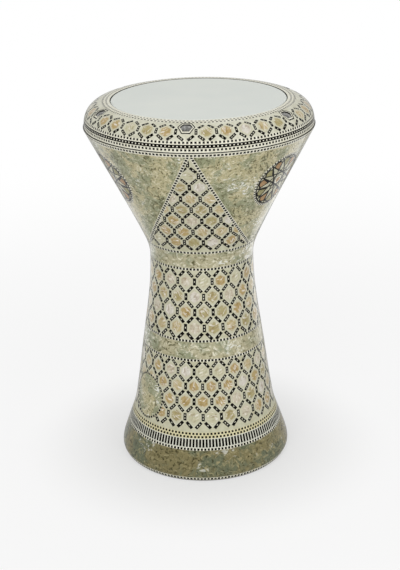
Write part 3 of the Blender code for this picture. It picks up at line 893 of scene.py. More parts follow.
middle = sum(spans["barred_band"]) / 2
bars = Drawing("bar_ground")
count = dots_round(body, middle, BAR_STEP)
bar_tall, bar_wide = BAR_TALL / body.radius_at(middle), BAR_SHARE * math.tau / count
for k in range(count):
    turn = math.tau * (k + 0.5) / count - math.pi
    bars.add(bar((turn, middle), math.pi / 2, bar_tall, bar_wide), "ebony")
clad("barred_band", bars, 3, "barred_inlay")

# %% [markdown]
# Three bands of the foot and column are plain crushed shell. Their drawings hold nothing but the ground,
# and only need enough rows to follow the curve of the drum.

# %% Flake veneers of the column
for name, paint, rows in (("foot_veneer", "foot_flake", 12), ("waist_veneer", "waist_flake", 5),
                          ("neck_veneer", "waist_flake", 8)):
    clad(name, Drawing(paint), rows, "shell_flake")

# %% [markdown]
# The two lattices of the column are rows of hexagons with a corner up. An even spacing would be simpler,
# but the inlayer let the rows spread where the drum widens. Counting the cells round the drum and measuring
# where the rows lie gives the whole pattern.

# %% Upper lattice
LATTICE_GRID = 18
UPPER_CELLS = 19
UPPER_FIRST = math.radians(7.6)
UPPER_ROWS = (0.2395, 0.2210, 0.2026, 0.1838)


def lattice_drawing(cells, first, heights):
    """A lattice whose rows lie at these heights."""
    drawing = Drawing("frame_bone")
    add_lattice(drawing, cells, first, body.q_at_height(np.array(heights)))
    return drawing


clad("upper_lattice", lattice_drawing(UPPER_CELLS, UPPER_FIRST, UPPER_ROWS), LATTICE_GRID, "pearl_mosaic")

# %% [markdown]
# A round medallion of shell flakes, with a thin chain of black bars about it, breaks the lower lattice. The
# cells under it could be left out one by one. In a drawing it's enough to lay a disc over them, because a
# later shape covers an earlier one.

# %% Lower lattice and its medallions
LOWER_CELLS = 24
LOWER_FIRST = math.radians(5.0)
LOWER_ROWS = (0.1314, 0.1135, 0.0950, 0.0760)
MEDALLION_TURNS = (math.radians(-50.9), math.radians(129.1))
MEDALLION_Z = 0.0885
MEDALLION_R = 0.0255
CHAIN_W = 0.0026
CHAIN_BARS = 40
CHAIN_BAR_W, CHAIN_BAR_T = 0.0023, 0.0028
DISC_SIDES = 48

lower = lattice_drawing(LOWER_CELLS, LOWER_FIRST, LOWER_ROWS)
medallion_q = body.q_at_height(MEDALLION_Z)
metre = 1 / body.radius_at(medallion_q)
for turn in MEDALLION_TURNS:
    centre = (turn, medallion_q)
    lower.add(regular(centre, (MEDALLION_R + CHAIN_W) * metre, DISC_SIDES), "frame_bone")
    middles = regular(centre, (MEDALLION_R + CHAIN_W / 2) * metre, CHAIN_BARS)
    for k, middle in enumerate(middles):
        lower.add(bar(middle, math.tau * k / CHAIN_BARS, CHAIN_BAR_W * metre, CHAIN_BAR_T * metre), "ebony")
    lower.add(regular(centre, MEDALLION_R * metre, DISC_SIDES), "flake")
clad("lower_lattice", lower, LATTICE_GRID, "pearl_mosaic")

# %% [markdown]
# The bowl is nearly a cone, and a cone unrolls flat, as a paper cup does. An inlayer lays out the bowl's
# panels and rosettes on the flat, where the triangles have straight sides and the rosettes are true
# circles, and this lesson does too. A point of the unrolled cone has a distance from its tip and an angle,
# and both give its place on the bowl: the turn is the angle divided by the sine of the cone's half angle,
# and q grows as the logarithm of the distance divided by the same sine.

# %% The unrolled cone
CONE_Z = (0.300, 0.400)

cone_r = [float(body.radius_at(body.q_at_height(z))) for z in CONE_Z]
cone_slope = (cone_r[1] - cone_r[0]) / (CONE_Z[1] - CONE_Z[0])
cone_sine = cone_slope / math.hypot(1.0, cone_slope)
cone_q0 = float(body.q_at_height(CONE_Z[0]))
cone_rho0 = cone_r[0] / cone_sine
print("cone half angle", round(math.degrees(math.asin(cone_sine)), 2), "degrees")


def rho_at_height(z):
    """Distance from the cone's tip at a height."""
    return float(body.radius_at(body.q_at_height(z))) / cone_sine


def onto_bowl(turn):
    """Moves points of the unrolled cone, x across and y from the tip, to (turn, q) about a centre line."""

    def place(points):
        rho = np.hypot(points[:, 0], points[:, 1])
        angle = np.arctan2(points[:, 0], points[:, 1])
        return np.stack([turn + angle / cone_sine, cone_q0 + np.log(rho / cone_rho0) / cone_sine], 1)

    return place


def trimmed(points, normal, limit):
    """The part of a convex shape where its points' product with the normal is at most the limit."""
    found = []
    for here, there in zip(points, np.roll(points, -1, axis=0)):
        a, b = here @ normal - limit, there @ normal - limit
        if a <= 0:
            found.append(here)
        if (a < 0 < b) or (b < 0 < a):
            found.append(here + (there - here) * a / (a - b))
    return np.array(found).reshape(-1, 2)


# %% [markdown]
# Three triangular panels stand on the neck with their points at the rim, each a lattice inside a dotted
# border. The lattice's rows are arcs round the cone, while the panel's sides are straight. So cells and
# links are bent from their arcs onto the flat cone, and then trimmed along the panel's two sides, as a saw
# would cut them.

# %% Triangle panels
PANEL_TURNS = tuple(math.radians(1.7) + k * math.tau / 3 for k in (-1, 0, 1))
PANEL_APEX = 0.3010
PANEL_SLOPE = 0.395
PANEL_STRIP = 0.0038
PANEL_DOT = 0.0027
PANEL_PITCH = 0.0215
PANEL_SHIFT = -0.0025
PANEL_BOTTOM = 0.120
PANEL_ROWS = (0.3990, 0.3836, 0.3688, 0.3531, 0.3383, 0.3225, 0.3066, 0.2907, 0.2750)
SIDE_PARTS = 30

bowl = Drawing("flake")
side_length = math.hypot(1.0, PANEL_SLOPE)
panel_depth = PANEL_APEX - PANEL_BOTTOM


def from_rows(points):
    """Points given as a length round an arc and the arc's distance from the tip, as flat points."""
    angle = points[:, 0] / points[:, 1]
    return points[:, 1:] * np.stack([np.sin(angle), np.cos(angle)], 1)


def panel_keep(inset):
    """Unrolls a shape from its arcs and trims it to a panel whose sides are moved in."""

    def keep(points):
        points = from_rows(points)
        for sign in (-1, 1):
            normal = np.array([sign, PANEL_SLOPE]) / side_length
            points = trimmed(points, normal, PANEL_SLOPE * PANEL_APEX / side_length - inset)
            if len(points) < 3:
                return points
        return points

    return keep


def panel_ground(inset):
    """The panel's outline with its sides moved in, with enough points for it to bend onto the bowl."""
    down = np.linspace(inset * side_length / PANEL_SLOPE, panel_depth, SIDE_PARTS)
    half = PANEL_SLOPE * (down - down[0])
    right = np.stack([half, PANEL_APEX - down], 1)
    left = right[::-1] * (-1, 1)
    base = np.linspace(-half[-1], half[-1], SIDE_PARTS)[1:-1]
    base = np.stack([base, np.full(len(base), PANEL_APEX - down[-1])], 1)
    return np.concatenate([left, right[1:], base[::-1]])


row_rhos = np.array([rho_at_height(z) for z in PANEL_ROWS])
for turn in PANEL_TURNS:
    place = onto_bowl(turn)
    bowl.add(place(panel_ground(0.0)), "bone")
    bowl.add(place(panel_ground(PANEL_STRIP)), "frame_bone")
    middle_apex = PANEL_APEX - PANEL_STRIP / 2 * side_length / PANEL_SLOPE
    for sign in (-1, 1):
        for k in range(int(panel_depth * side_length / DOT_STEP)):
            down = (k + 0.5) * DOT_STEP / side_length
            lean = math.atan2(-1, sign * PANEL_SLOPE)
            spot = bar((sign * PANEL_SLOPE * down, middle_apex - down), lean, PANEL_DOT, PANEL_DOT)
            bowl.add(place(spot), "ebony")
    keep = panel_keep(PANEL_STRIP)
    rise = SLANT_RISE * PANEL_PITCH
    for row, rho in enumerate(row_rhos[:-1]):
        step = rho - row_rhos[row + 1]
        for k in range(-1, row + 2):
            x = PANEL_SHIFT + (k - row / 2) * PANEL_PITCH
            if row > 0:
                add_cell(bowl, (x + PANEL_PITCH / 2, rho), PANEL_PITCH, step / PANEL_PITCH, SLANT_RISE,
                         place, keep, from_rows, 1 / (rho * cone_sine))
            add_link(bowl, np.array([x, rho]), math.pi / 2, PANEL_PITCH, place, keep)
            for sign in (-1, 1):
                middle = (x + sign * PANEL_PITCH / 4, rho - step / 2)
                add_link(bowl, middle, -sign * math.atan2(rise, PANEL_PITCH / 2), PANEL_PITCH, place, keep)
print("panels", len(bowl.shapes), "shapes")

# %% [markdown]
# Between the panels stand rosettes, the finest work on the drum. They could be traced petal by petal, but a
# rosette of twelve comes from one star, as with compass and rule: twelve points on a circle, each joined to
# the fifth point round from it. The star's lines part the petals, and cross between them on their way to
# the middle.

# %% One petal
STAR_POINTS = 12
STAR_R = 0.0316
STAR_SKIP = 5
HALF_STEP = math.pi / STAR_POINTS
PETAL_BACK = 0.0010
PETAL_OUT = 0.0006
PETAL_END_R = 0.0068
PETAL_SIDE = math.radians(26)
PETAL_BEND = math.radians(70)

petal_tip = STAR_R * math.sin(HALF_STEP) / math.sin(2 * HALF_STEP)


def petal(inset):
    """A petal pointing along +X: straight sides from its tip, and a round outer end, all moved in."""
    tip = petal_tip - PETAL_BACK + inset / math.sin(PETAL_SIDE)
    far = STAR_R + PETAL_OUT - inset
    bend = np.linspace(-PETAL_BEND, PETAL_BEND, 13)
    width = PETAL_END_R - inset
    knee = far - width
    outer = np.stack([knee + width * np.cos(bend), width * np.sin(bend)], 1)
    return np.concatenate([[(tip, 0.0)], outer])


def turned_by(points, angle):
    """Points turned about the origin."""
    c, s = math.cos(angle), math.sin(angle)
    return points @ np.array([(c, s), (-s, c)])


print("petal from", round(petal_tip, 4), "to", round(STAR_R + PETAL_OUT, 4), "m")

# %% Rosettes
ROSETTE_TURNS = (math.pi / 3, math.pi, -math.pi / 3)
ROSETTE_BOWL_R = 0.1075
ROSETTE_R = 0.0360
ROSETTE_LINE = 0.0018
ROSETTE_SIDES = 72
BLOCKS = 56
BLOCK_BAND = 0.0024
BLOCK_LONG, BLOCK_WIDE = 0.0020, 0.0021
EYE_R, EYE_LINE_R, EYE_CELL_R = 0.0056, 0.0066, 0.0040
EYE_SIDES = 36
BOWL_GRID = (144, 36)

for turn in ROSETTE_TURNS:
    place = onto_bowl(turn)
    centre = np.array([0.0, ROSETTE_BOWL_R / cone_sine])

    def put(points, paint):
        bowl.add(place(points + centre), paint)

    put(regular((0, 0), ROSETTE_R, ROSETTE_SIDES), "bone")
    for k in range(BLOCKS):
        block = bar((ROSETTE_R - BLOCK_BAND / 2, 0), 0.0, BLOCK_LONG, BLOCK_WIDE)
        put(turned_by(block, math.tau * k / BLOCKS), "ebony")
    put(regular((0, 0), ROSETTE_R - BLOCK_BAND, ROSETTE_SIDES), "ebony")
    put(regular((0, 0), ROSETTE_R - BLOCK_BAND - ROSETTE_LINE, ROSETTE_SIDES), "frame_bone")
    star = regular((0, 0), STAR_R, STAR_POINTS, HALF_STEP)
    for here, there in zip(star, np.roll(star, -STAR_SKIP, axis=0)):
        line = there - here
        put(bar((here + there) / 2, math.atan2(line[1], line[0]), np.hypot(*line), ROSETTE_LINE), "ebony")
    for k in range(STAR_POINTS):
        a = math.pi / 2 + 2 * HALF_STEP * k
        put(turned_by(petal(0.0), a), "ebony")
        put(turned_by(petal(ROSETTE_LINE), a), "petal_brown" if k % 2 else "petal_green")
    put(regular((0, 0), EYE_LINE_R, EYE_SIDES), "ebony")
    put(regular((0, 0), EYE_R, EYE_SIDES), "bone")
    put(regular((0, 0), EYE_CELL_R, 6, math.pi / 2), "petal_brown")
columns, rows = BOWL_GRID
clad("bowl_veneer", bowl, rows, "shell_flake", columns=columns, name="bowl_inlay")

# %% [markdown]
# The cover ring has the same inlay on its own profile, and it rides on another body, because it rises when
# its bolts are backed out. Round its side go a black line with a row of bone dots in it and a row of black
# dots on either side, and round its eye two rows of dots with a thin line between them.

# %% Strips of the cover ring
RING_COLUMNS = 144
SIDE_STEP = 0.0043
SIDE_LINE_Z, SIDE_LINE_W = 0.4192, 0.0037
SIDE_ROWS = (
    (0.4232, 0.0023, "ebony", 0.0), (SIDE_LINE_Z, 0.0014, "bone", 0.0), (0.4154, 0.0023, "ebony", 0.5),
)
INNER_STEP = 0.0042
INNER_LINE_R, INNER_LINE_W = 0.1068, 0.0004
INNER_ROWS = ((0.1047, 0.0021, 0.0), (0.1088, 0.0022, 0.5))

inner_r = max(np.hypot(eye_points[:, 0], eye_points[:, 1]))
ring_edges = (0.0, float(ring.q_at_height(side_high.z)), float(ring.q_at_radius(inner_r)), float(ring.q[-1]))
for node, *span in zip(("ring_side_strips", "ring_lattice", "ring_inner_strip"), ring_edges, ring_edges[1:]):
    spans[node] = span


def ring_row(drawing, where, step, size, paint, shift=0.0):
    """Dots round the ring at q, moved on by a share of a step."""
    count = dots_round(ring, where, step)
    dot_row(drawing, ring, where, count, size, paint, shift * math.tau / count)


sides = Drawing("bone")
ring_line(sides, ring, ring.q_at_height(SIDE_LINE_Z), SIDE_LINE_W, "ebony")
for height, size, paint, shift in SIDE_ROWS:
    ring_row(sides, ring.q_at_height(height), SIDE_STEP, size, paint, shift)
clad("ring_side_strips", sides, 6, "dotted_strip", ring, RING_COLUMNS, "ring")

inner = Drawing("bone")
ring_line(inner, ring, ring.q_at_radius(INNER_LINE_R), INNER_LINE_W, "frame_bone")
for radius, size, shift in INNER_ROWS:
    ring_row(inner, ring.q_at_radius(radius), INNER_STEP, size, "ebony", shift)
clad("ring_inner_strip", inner, 5, "dotted_strip", ring, RING_COLUMNS, "ring")

# %% [markdown]
# The ring's top has one row of pearl cells. Every sixth cell gives way to the well of a tuning bolt, a
# hexagon that lies along the ring. A hole for it could be cut with a boolean, but the drawing can do it: a
# shape with the paint called hole leaves its triangles out. The hexagon is drawn in plan, as seen from
# above, and then moved onto the ring's drawing.

# %% Lattice of the cover ring
RING_CELLS = 36
RING_CELL_R = 0.1232
RING_RISE = 0.38
RING_STEP = 0.67
RING_LINK = 0.82
RING_PEARL = 0.88
RING_GRID = 16
WELL_W = 0.0178
WELL_D = 0.0134
WELL_GAP = 0.0001
WELL_FRAME = 0.0006
HEX_SPREAD = 2.31
BOLTS = 6
BOLT_R = 0.1178
SAME_TURN = 0.01


def ring_place(turn):
    """Moves a plan view about a bolt, x round and y outwards in metres, onto the ring's drawing."""

    def place(points):
        x, y = points[:, 0], BOLT_R + points[:, 1]
        return np.stack([turn + np.arctan2(x, y), ring.q_at_radius(np.hypot(x, y))], 1)

    return place


def well_outline(width, depth, parts=1):
    """A hexagon with corners at its two ends, and as many points along each side as asked."""
    corners = regular((0.0, 0.0), 1.0, 6) * (width / 2, depth / 2 / math.sin(math.pi / 3))
    share = np.arange(parts)[:, None] / parts
    sides = [a + (b - a) * share for a, b in zip(corners, np.roll(corners, -1, axis=0))]
    return np.concatenate(sides)


# The ring's ground is the lighter bone, with painted reflection.
lattice = Drawing("ring_bone")
bolt_turns = math.tau * np.arange(BOLTS) / BOLTS


def at_bolt(turn):
    """Whether a bolt stands at this turn."""
    return bool(np.any(np.abs((turn - bolt_turns + math.pi) % math.tau - math.pi) < SAME_TURN))


ring_rows = [float(ring.q_at_radius(RING_CELL_R))]
add_lattice(lattice, RING_CELLS, 0.0, ring_rows, RING_RISE, RING_STEP, at_bolt, RING_LINK, RING_PEARL)
frame_outline = well_outline(WELL_W + HEX_SPREAD * WELL_FRAME, WELL_D + 2 * WELL_FRAME, 4)
hole_outline = well_outline(WELL_W + 2 * WELL_GAP, WELL_D + 2 * WELL_GAP, 4)
for turn in bolt_turns:
    lattice.add(ring_place(turn)(frame_outline), "ebony")
    lattice.add(ring_place(turn)(hole_outline), HOLE)
clad("ring_lattice", lattice, RING_GRID, "pearl_mosaic", ring, RING_COLUMNS, "ring")

# %% [markdown]
# The rubber foot, the hoop and the film are plain rings or discs. Blender's Spin or Screw could turn a
# profile, but both leave doubled points at the seam. So a profile is carried round the axis as one array of
# rings of points: point (i, j) is (radius_i sin turn_j, -radius_i cos turn_j, height_i). A rounded corner
# is a short curve between two straight runs.

# %% Rounded corners
CORNER_PARTS = 4


def rounded(points, radius):
    """A closed outline with each corner replaced by a parabola that touches both of its sides.

    Its points are (1 - t)^2 start + 2 t (1 - t) corner + t^2 end.
    """
    points = np.asarray(points, float)
    found = []
    for before, corner, after in zip(np.roll(points, 1, axis=0), points, np.roll(points, -1, axis=0)):
        a, b = before - corner, after - corner
        reach = min(radius, 0.45 * np.linalg.norm(a), 0.45 * np.linalg.norm(b))
        start, end = corner + a / np.linalg.norm(a) * reach, corner + b / np.linalg.norm(b) * reach
        for t in np.linspace(0.0, 1.0, CORNER_PARTS + 1):
            found.append((1 - t) ** 2 * start + 2 * t * (1 - t) * corner + t**2 * end)
    return np.array(found)


# %% Surfaces through rings of points
TURNED_COLUMNS = 144


def stacked_rings(name, rings, materials, closed=False, which=None, sharp=40):
    """A surface through rings of points: point (i, j) is point j of ring i.

    A closed surface joins its last ring to its first. An open one is closed by a fan over its first ring and
    another over its last. which gives the material of each strip between two rings.
    """
    rings = np.asarray(rings, float)
    rows, columns = rings.shape[:2]
    i, j = np.meshgrid(np.arange(rows if closed else rows - 1), np.arange(columns), indexing="ij")
    i2, j2 = (i + 1) % rows, (j + 1) % columns
    quads = np.stack([i * columns + j, i2 * columns + j, i2 * columns + j2, i * columns + j2], 2)
    quads = quads.reshape(-1, 4)
    points = rings.reshape(-1, 3)
    faces = quads.tolist()
    strips = np.repeat(np.arange(len(quads) // columns), columns)
    if not closed:
        points = np.concatenate([points, [rings[0].mean(0), rings[-1].mean(0)]])
        here, there = np.arange(columns), (np.arange(columns) + 1) % columns
        first, last = np.full(columns, rows * columns), np.full(columns, rows * columns + 1)
        faces += np.stack([here, there, first], 1).tolist()
        faces += np.stack([there + (rows - 1) * columns, here + (rows - 1) * columns, last], 1).tolist()
        strips = np.concatenate([strips, np.repeat([0, strips.max()], columns)])
    mesh = bpy.data.meshes.new(name)
    mesh.from_pydata(points, [], faces)
    for material in materials:
        mesh.materials.append(material)
    mesh.shade_smooth()
    mesh.set_sharp_from_angle(angle=math.radians(sharp))
    if which is not None:
        mesh.polygons.foreach_set("material_index", np.asarray(which, np.int32)[strips])
    piece = bpy.data.objects.new(name, mesh)
    bpy.context.collection.objects.link(piece)
    return piece


def turned(outline):
    """Rings of points: each (radius, height) of an outline carried round the axis."""
    turns = math.tau * np.arange(TURNED_COLUMNS) / TURNED_COLUMNS
    radius, height = outline[:, 0][:, None], outline[:, 1][:, None]
    return np.stack([radius * np.sin(turns), -radius * np.cos(turns), height + 0 * turns], 2)


print("rings are turned in", TURNED_COLUMNS, "columns")

# %% [markdown]
# The rubber is dull and nearly black. Metal shows fine marks: the castings are blasted, the hoop is rolled
# and the bolts are drawn and plated. The film is cloudy white, with a soft gloss. A plain grey with one
# roughness would do from far off, but a noise that moves the roughness a little keeps each from looking
# like plastic.

# %% Rubber and film
def rubber_material():
    """Matt black rubber with fine specks."""
    material, tree, shader, coords = start_material("rubber")
    speck = noise(tree, coords, 900.0, 3.0).outputs["Fac"]
    colour = blend_colours(tree, speck, srgb(24, 24, 24), srgb(40, 40, 39))
    tree.links.new(colour, shader.inputs["Base Color"])
    tree.links.new(maths(tree, "MULTIPLY_ADD", speck, 0.2, 0.6), shader.inputs["Roughness"])
    bump = add_node(tree, "ShaderNodeBump", Height=speck, Distance=0.00005)
    tree.links.new(bump.outputs[0], shader.inputs["Normal"])
    return material


def film_material():
    """A cloudy white film, nearly smooth."""
    material, tree, shader, coords = start_material("film")
    cloud = noise(tree, coords, 9.0, 3.0).outputs["Fac"]
    fine = noise(tree, coords, 1200.0, 2.0).outputs["Fac"]
    colour = blend_colours(tree, between(tree, cloud, 0.35, 0.65), srgb(231, 236, 229), srgb(236, 240, 232))
    tree.links.new(colour, shader.inputs["Base Color"])
    tree.links.new(maths(tree, "MULTIPLY_ADD", fine, 0.10, 0.30), shader.inputs["Roughness"])
    bump = add_node(tree, "ShaderNodeBump", Height=fine, Distance=0.00001)
    tree.links.new(bump.outputs[0], shader.inputs["Normal"])
    return material


rubber = rubber_material()
film = film_material()
print(rubber.name, "and", film.name)

# %% Metals
BORE_SHARE = 0.5


def metal_material(name, colour, rough, grain_scale, grain_depth, stretch=(1.0, 1.0, 1.0)):
    """Bare metal whose grain darkens, roughens and dents it. stretch draws the grain out."""
    material, tree, shader, coords = start_material(name)
    long = add_node(tree, "ShaderNodeMapping", Vector=coords)
    long.inputs["Scale"].default_value = stretch
    grain = noise(tree, long.outputs[0], grain_scale, 4.0, 0.6).outputs["Fac"]
    darker = (*[0.8 * channel for channel in colour[:3]], 1.0)
    dull = blend_colours(tree, between(tree, grain, 0.3, 0.7), colour, darker)
    tree.links.new(dull, shader.inputs["Base Color"])
    tree.links.new(maths(tree, "MULTIPLY_ADD", grain, 0.2, rough - 0.1), shader.inputs["Roughness"])
    bump = add_node(tree, "ShaderNodeBump", Height=grain, Distance=grain_depth)
    tree.links.new(bump.outputs[0], shader.inputs["Normal"])
    shader.inputs["Metallic"].default_value = 1.0
    return material


cast = metal_material("cast", srgb(176, 178, 180), 0.45, 500.0, 0.00008)
bore_steel = metal_material("bore_steel", srgb(206, 206, 202), 0.34, 260.0, 0.00001, (1.0, 1.0, 12.0))
bore_steel.node_tree.nodes["Principled BSDF"].inputs["Metallic"].default_value = BORE_SHARE
bright = metal_material("bright", srgb(206, 208, 210), 0.28, 90.0, 0.00001, (1.0, 1.0, 30.0))
steel = metal_material("steel", srgb(160, 160, 158), 0.26, 260.0, 0.00002, (1.0, 1.0, 12.0))
for node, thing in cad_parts.items():
    if node in ("shell_casting", "cover_ring"):
        material = cast
    elif node == "flesh_hoop":
        material = bright
    else:
        material = steel
    for slot in thing.material_slots:
        slot.material = material
print(cast.name, bore_steel.name, bright.name, "and", steel.name)

# %% [markdown]
# The foot stands on a rubber ring whose tongue sits in a groove of the casting, and the film is held in an
# aluminium hoop. Both are the CAD's own outlines with rounded corners, because a sharp edge never catches
# the light as a moulded or rolled one does.

# %% Foot ring and hoop
RUBBER_EDGE = 0.0003
HOOP_EDGE = 0.0006

foot_points = node_points("foot_ring")
tread, foot_top = np.unique(foot_points[:, 2].round(6))[[1, -1]]
foot_r = np.unique(np.hypot(foot_points[:, 0], foot_points[:, 1]).round(5))
tongue_in, tongue_out = foot_r[1], foot_r[2]
outline = [(foot_r[0], 0.0), (foot_r[0], tread), (tongue_in, tread), (tongue_in, foot_top),
           (tongue_out, foot_top), (tongue_out, tread), (foot_r[3], tread), (foot_r[3], 0.0)]
foot = stacked_rings("rubber_foot", turned(rounded(outline, RUBBER_EDGE)), [rubber], closed=True)
fit(foot, "shell", "black_rubber", "foot_ring")

hoop_low, hoop_high = (corner.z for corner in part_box("flesh_hoop"))
hoop_points = node_points("flesh_hoop")
hoop_r = np.unique(np.hypot(hoop_points[:, 0], hoop_points[:, 1]).round(5))
outline = [(hoop_r[0], hoop_low), (hoop_r[0], hoop_high), (hoop_r[1], hoop_high), (hoop_r[1], hoop_low)]
hoop = stacked_rings("head_hoop", turned(rounded(outline, HOOP_EDGE)), [bright], closed=True)
fit(hoop, "shell", "bright_aluminium", "flesh_hoop")
print("foot", round(foot_r[3], 4), "and hoop", round(hoop_r[1], 4), "m in radius")

# %% [markdown]
# The head is a film drawn tight over the bearing edge and down into its hoop. A flat disc would show no
# edge, so the film is a thin closed sheet: flat across, bent round a small radius at the edge, and straight
# down its collar. The inside is the same line moved in along its normals by the film's thickness.

# %% Film
FILM_T = 0.0004
FILM_BEND = 0.0016
BEND_POINTS = 9
FLAT_RINGS = 16
FLAT_FIRST, FLAT_LAST = 0.04, 0.98
LEVEL_MARGIN = 1e-5

film_low, film_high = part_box("head_film")
film_points = node_points("head_film")
film_radius = np.hypot(film_points[:, 0], film_points[:, 1])
flat_r = film_radius[film_points[:, 2] > film_high.z - LEVEL_MARGIN].max()
collar_r = film_radius.max()
steep = math.atan2(film_high.z - film_low.z, collar_r - flat_r)
start = flat_r - FILM_BEND * math.tan(steep / 2)
turns = np.linspace(0.0, steep, BEND_POINTS)
flat = [(r, film_high.z) for r in np.linspace(start * FLAT_FIRST, start * FLAT_LAST, FLAT_RINGS)]
bend = np.stack([start + FILM_BEND * np.sin(turns), film_high.z - FILM_BEND * (1 - np.cos(turns))], 1)
face = np.concatenate([flat, bend, [(collar_r, film_low.z + FILM_T)]])
along = np.gradient(face, axis=0)
inward = np.stack([along[:, 1], -along[:, 0]], 1) / np.hypot(*along.T)[:, None]
back = face + FILM_T * inward
sheet = np.concatenate([face, back[::-1]])[::-1]
head = stacked_rings("head_skin", turned(sheet), [film])
fit(head, "shell", "film", "head_film")
print("film", round(flat_r, 4), "flat,", round(collar_r, 4), "collar")

# %% [markdown]
# Each bolt stands in a hexagonal well. Its bezel has a dark edge and a thin bone line, and its top follows
# the ring. Inside it a dark step and polished steel walls go down, and narrow to the round bore where the
# bolt's head turns. Modelled as a hexagon and a tube, the two would have to be cut into each other. Here
# one closed surface runs through ten rings of points, and goes from the hexagon to the circle because both
# have their points in the same directions.

# %% Outlines of a well
WELL_EDGE = 0.0005
WELL_LINE = 0.0011
WELL_SINK = 0.0002
WELL_STEP, WELL_WALL, WELL_CONE = 0.0016, 0.0026, 0.0034
BORE_R = 0.0052
TUBE_R = 0.0056
SIDE_POINTS = 12


def ring_height(x, y):
    """Height of the cover ring's surface at a place given about the bolt, in plan."""
    radius = np.hypot(x, BOLT_R + y)
    return np.interp(-radius, -ring.radius, ring.height)


def plan_ring(plan, height, on_ring=True):
    """Points of a plan outline, at a height or that far from the ring's surface."""
    x, y = plan[:, 0], plan[:, 1]
    z = ring_height(x, y) + height if on_ring else np.full(len(plan), height)
    return np.stack([x, -(BOLT_R + y), z], 1)


def round_plan(radius):
    """Points of a circle in the same directions as the points of the well's outline."""
    corners = well_outline(WELL_W, WELL_D, SIDE_POINTS)
    return radius * corners / np.hypot(*corners.T)[:, None]


def turned_about_axis(rings, turn):
    """Rings of points turned about the drum's axis."""
    c, s = math.cos(turn), math.sin(turn)
    return rings @ np.array([(c, s, 0.0), (-s, c, 0.0), (0.0, 0.0, 1.0)])


def well_inside(inset):
    """The well's outline with its sides moved in."""
    return well_outline(WELL_W - HEX_SPREAD * inset, WELL_D - 2 * inset, SIDE_POINTS)


outer, line, wall = well_inside(0.0), well_inside(WELL_EDGE), well_inside(WELL_EDGE + WELL_LINE)
print("well's mouth", round(1000 * np.ptp(wall[:, 0]), 1), "by", round(1000 * np.ptp(wall[:, 1]), 1), "mm")

# %% Wells
WELL_PAINTS = (1, 1, 0, 1, 2, 2, 2, 2, 2, 2)

floor_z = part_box("bolt_well_1")[0].z
bezel_z = float(np.unique(node_points("bolt_well_1")[:, 2].round(5))[1])
well_rings = np.array([
    plan_ring(outer, bezel_z, False),
    plan_ring(outer, -WELL_SINK),
    plan_ring(line, -WELL_SINK),
    plan_ring(wall, -WELL_SINK),
    plan_ring(wall, -WELL_STEP),
    plan_ring(wall, -WELL_WALL),
    plan_ring(round_plan(BORE_R), -WELL_CONE),
    plan_ring(round_plan(BORE_R), floor_z, False),
    plan_ring(round_plan(TUBE_R), floor_z, False),
    plan_ring(round_plan(TUBE_R), bezel_z, False),
])
paints = [paint_materials["bone"], paint_materials["ebony"], bore_steel]
for number, turn in enumerate(bolt_turns, 1):
    rings = turned_about_axis(well_rings, turn)
    piece = stacked_rings(f"well_{number}", rings, paints, True, WELL_PAINTS, 25)
    fit(piece, "ring", "dark_steel", f"bolt_well_{number}")
print(BOLTS, "wells")

# %% [markdown]
# A tuning bolt is a socket-head screw: a shank, a round head with a chamfer, and a hexagonal socket for the
# key. Lathe and broach would be two steps in Blender too, a turned solid and a boolean. As rings of points
# in the same directions, circle and hexagon follow one another down one surface, from the tip of the shank
# to the bottom of the socket. Threads are left out, since they are hidden in the boss.

# %% Outlines of a bolt
BOLT_CHAMFER = 0.0004
BOLT_POINT = 0.0006
HEAD_EDGE = 0.0001
SOCKET_FLATS = 0.0050
SOCKET_DEEP = 0.0032
SOCKET_WIDER = 0.0005
SOCKET_BEVEL = 0.00025
DRILL_R, DRILL_DEEP = 0.0003, 0.0010
BOLT_PARTS = 48

bolt_low, bolt_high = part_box("tuning_bolt_1")
bolt_points = node_points("tuning_bolt_1")
head_low = float(np.unique(bolt_points[:, 2].round(5))[1])
bolt_r = np.hypot(bolt_points[:, 0] - bolt_points[:, 0].mean(), bolt_points[:, 1] + BOLT_R)
head_r, shank_r = bolt_r.max(), bolt_r[bolt_points[:, 2] < head_low - 0.001].max()


def hexagon_plan(flats):
    """A hexagon as wide as given across its flats, at the same angles as the points of a circle."""
    angles = math.tau * np.arange(BOLT_PARTS) / BOLT_PARTS
    reach = flats / 2 / np.cos((angles + math.pi / 6) % (math.pi / 3) - math.pi / 6)
    return reach[:, None] * np.stack([np.cos(angles), np.sin(angles)], 1)


def circle_plan(radius):
    """A circle with its points at the same angles."""
    return regular((0.0, 0.0), radius, BOLT_PARTS)


print("bolt's head", round(2000 * head_r, 1), "mm across, shank", round(2000 * shank_r, 1), "mm")

# %% Bolts
bolt_rings = np.array([
    plan_ring(plan, z, False) for plan, z in (
        (circle_plan(shank_r - BOLT_POINT), bolt_low.z),
        (circle_plan(shank_r), bolt_low.z + BOLT_POINT),
        (circle_plan(shank_r), head_low),
        (circle_plan(head_r - HEAD_EDGE), head_low),
        (circle_plan(head_r), head_low + HEAD_EDGE),
        (circle_plan(head_r), bolt_high.z - BOLT_CHAMFER),
        (circle_plan(head_r - BOLT_CHAMFER), bolt_high.z),
        (hexagon_plan(SOCKET_FLATS + SOCKET_WIDER), bolt_high.z),
        (hexagon_plan(SOCKET_FLATS), bolt_high.z - SOCKET_BEVEL),
        (hexagon_plan(SOCKET_FLATS), bolt_high.z - SOCKET_DEEP),
        (circle_plan(DRILL_R), bolt_high.z - SOCKET_DEEP - DRILL_DEEP),
    )
])
for number, turn in enumerate(bolt_turns, 1):
    rings = turned_about_axis(bolt_rings, turn)
    piece = stacked_rings(f"bolt_{number}_turned", rings, [steel], sharp=30)
    fit(piece, f"bolt_{number}", "steel", f"tuning_bolt_{number}")
print(BOLTS, "bolts")

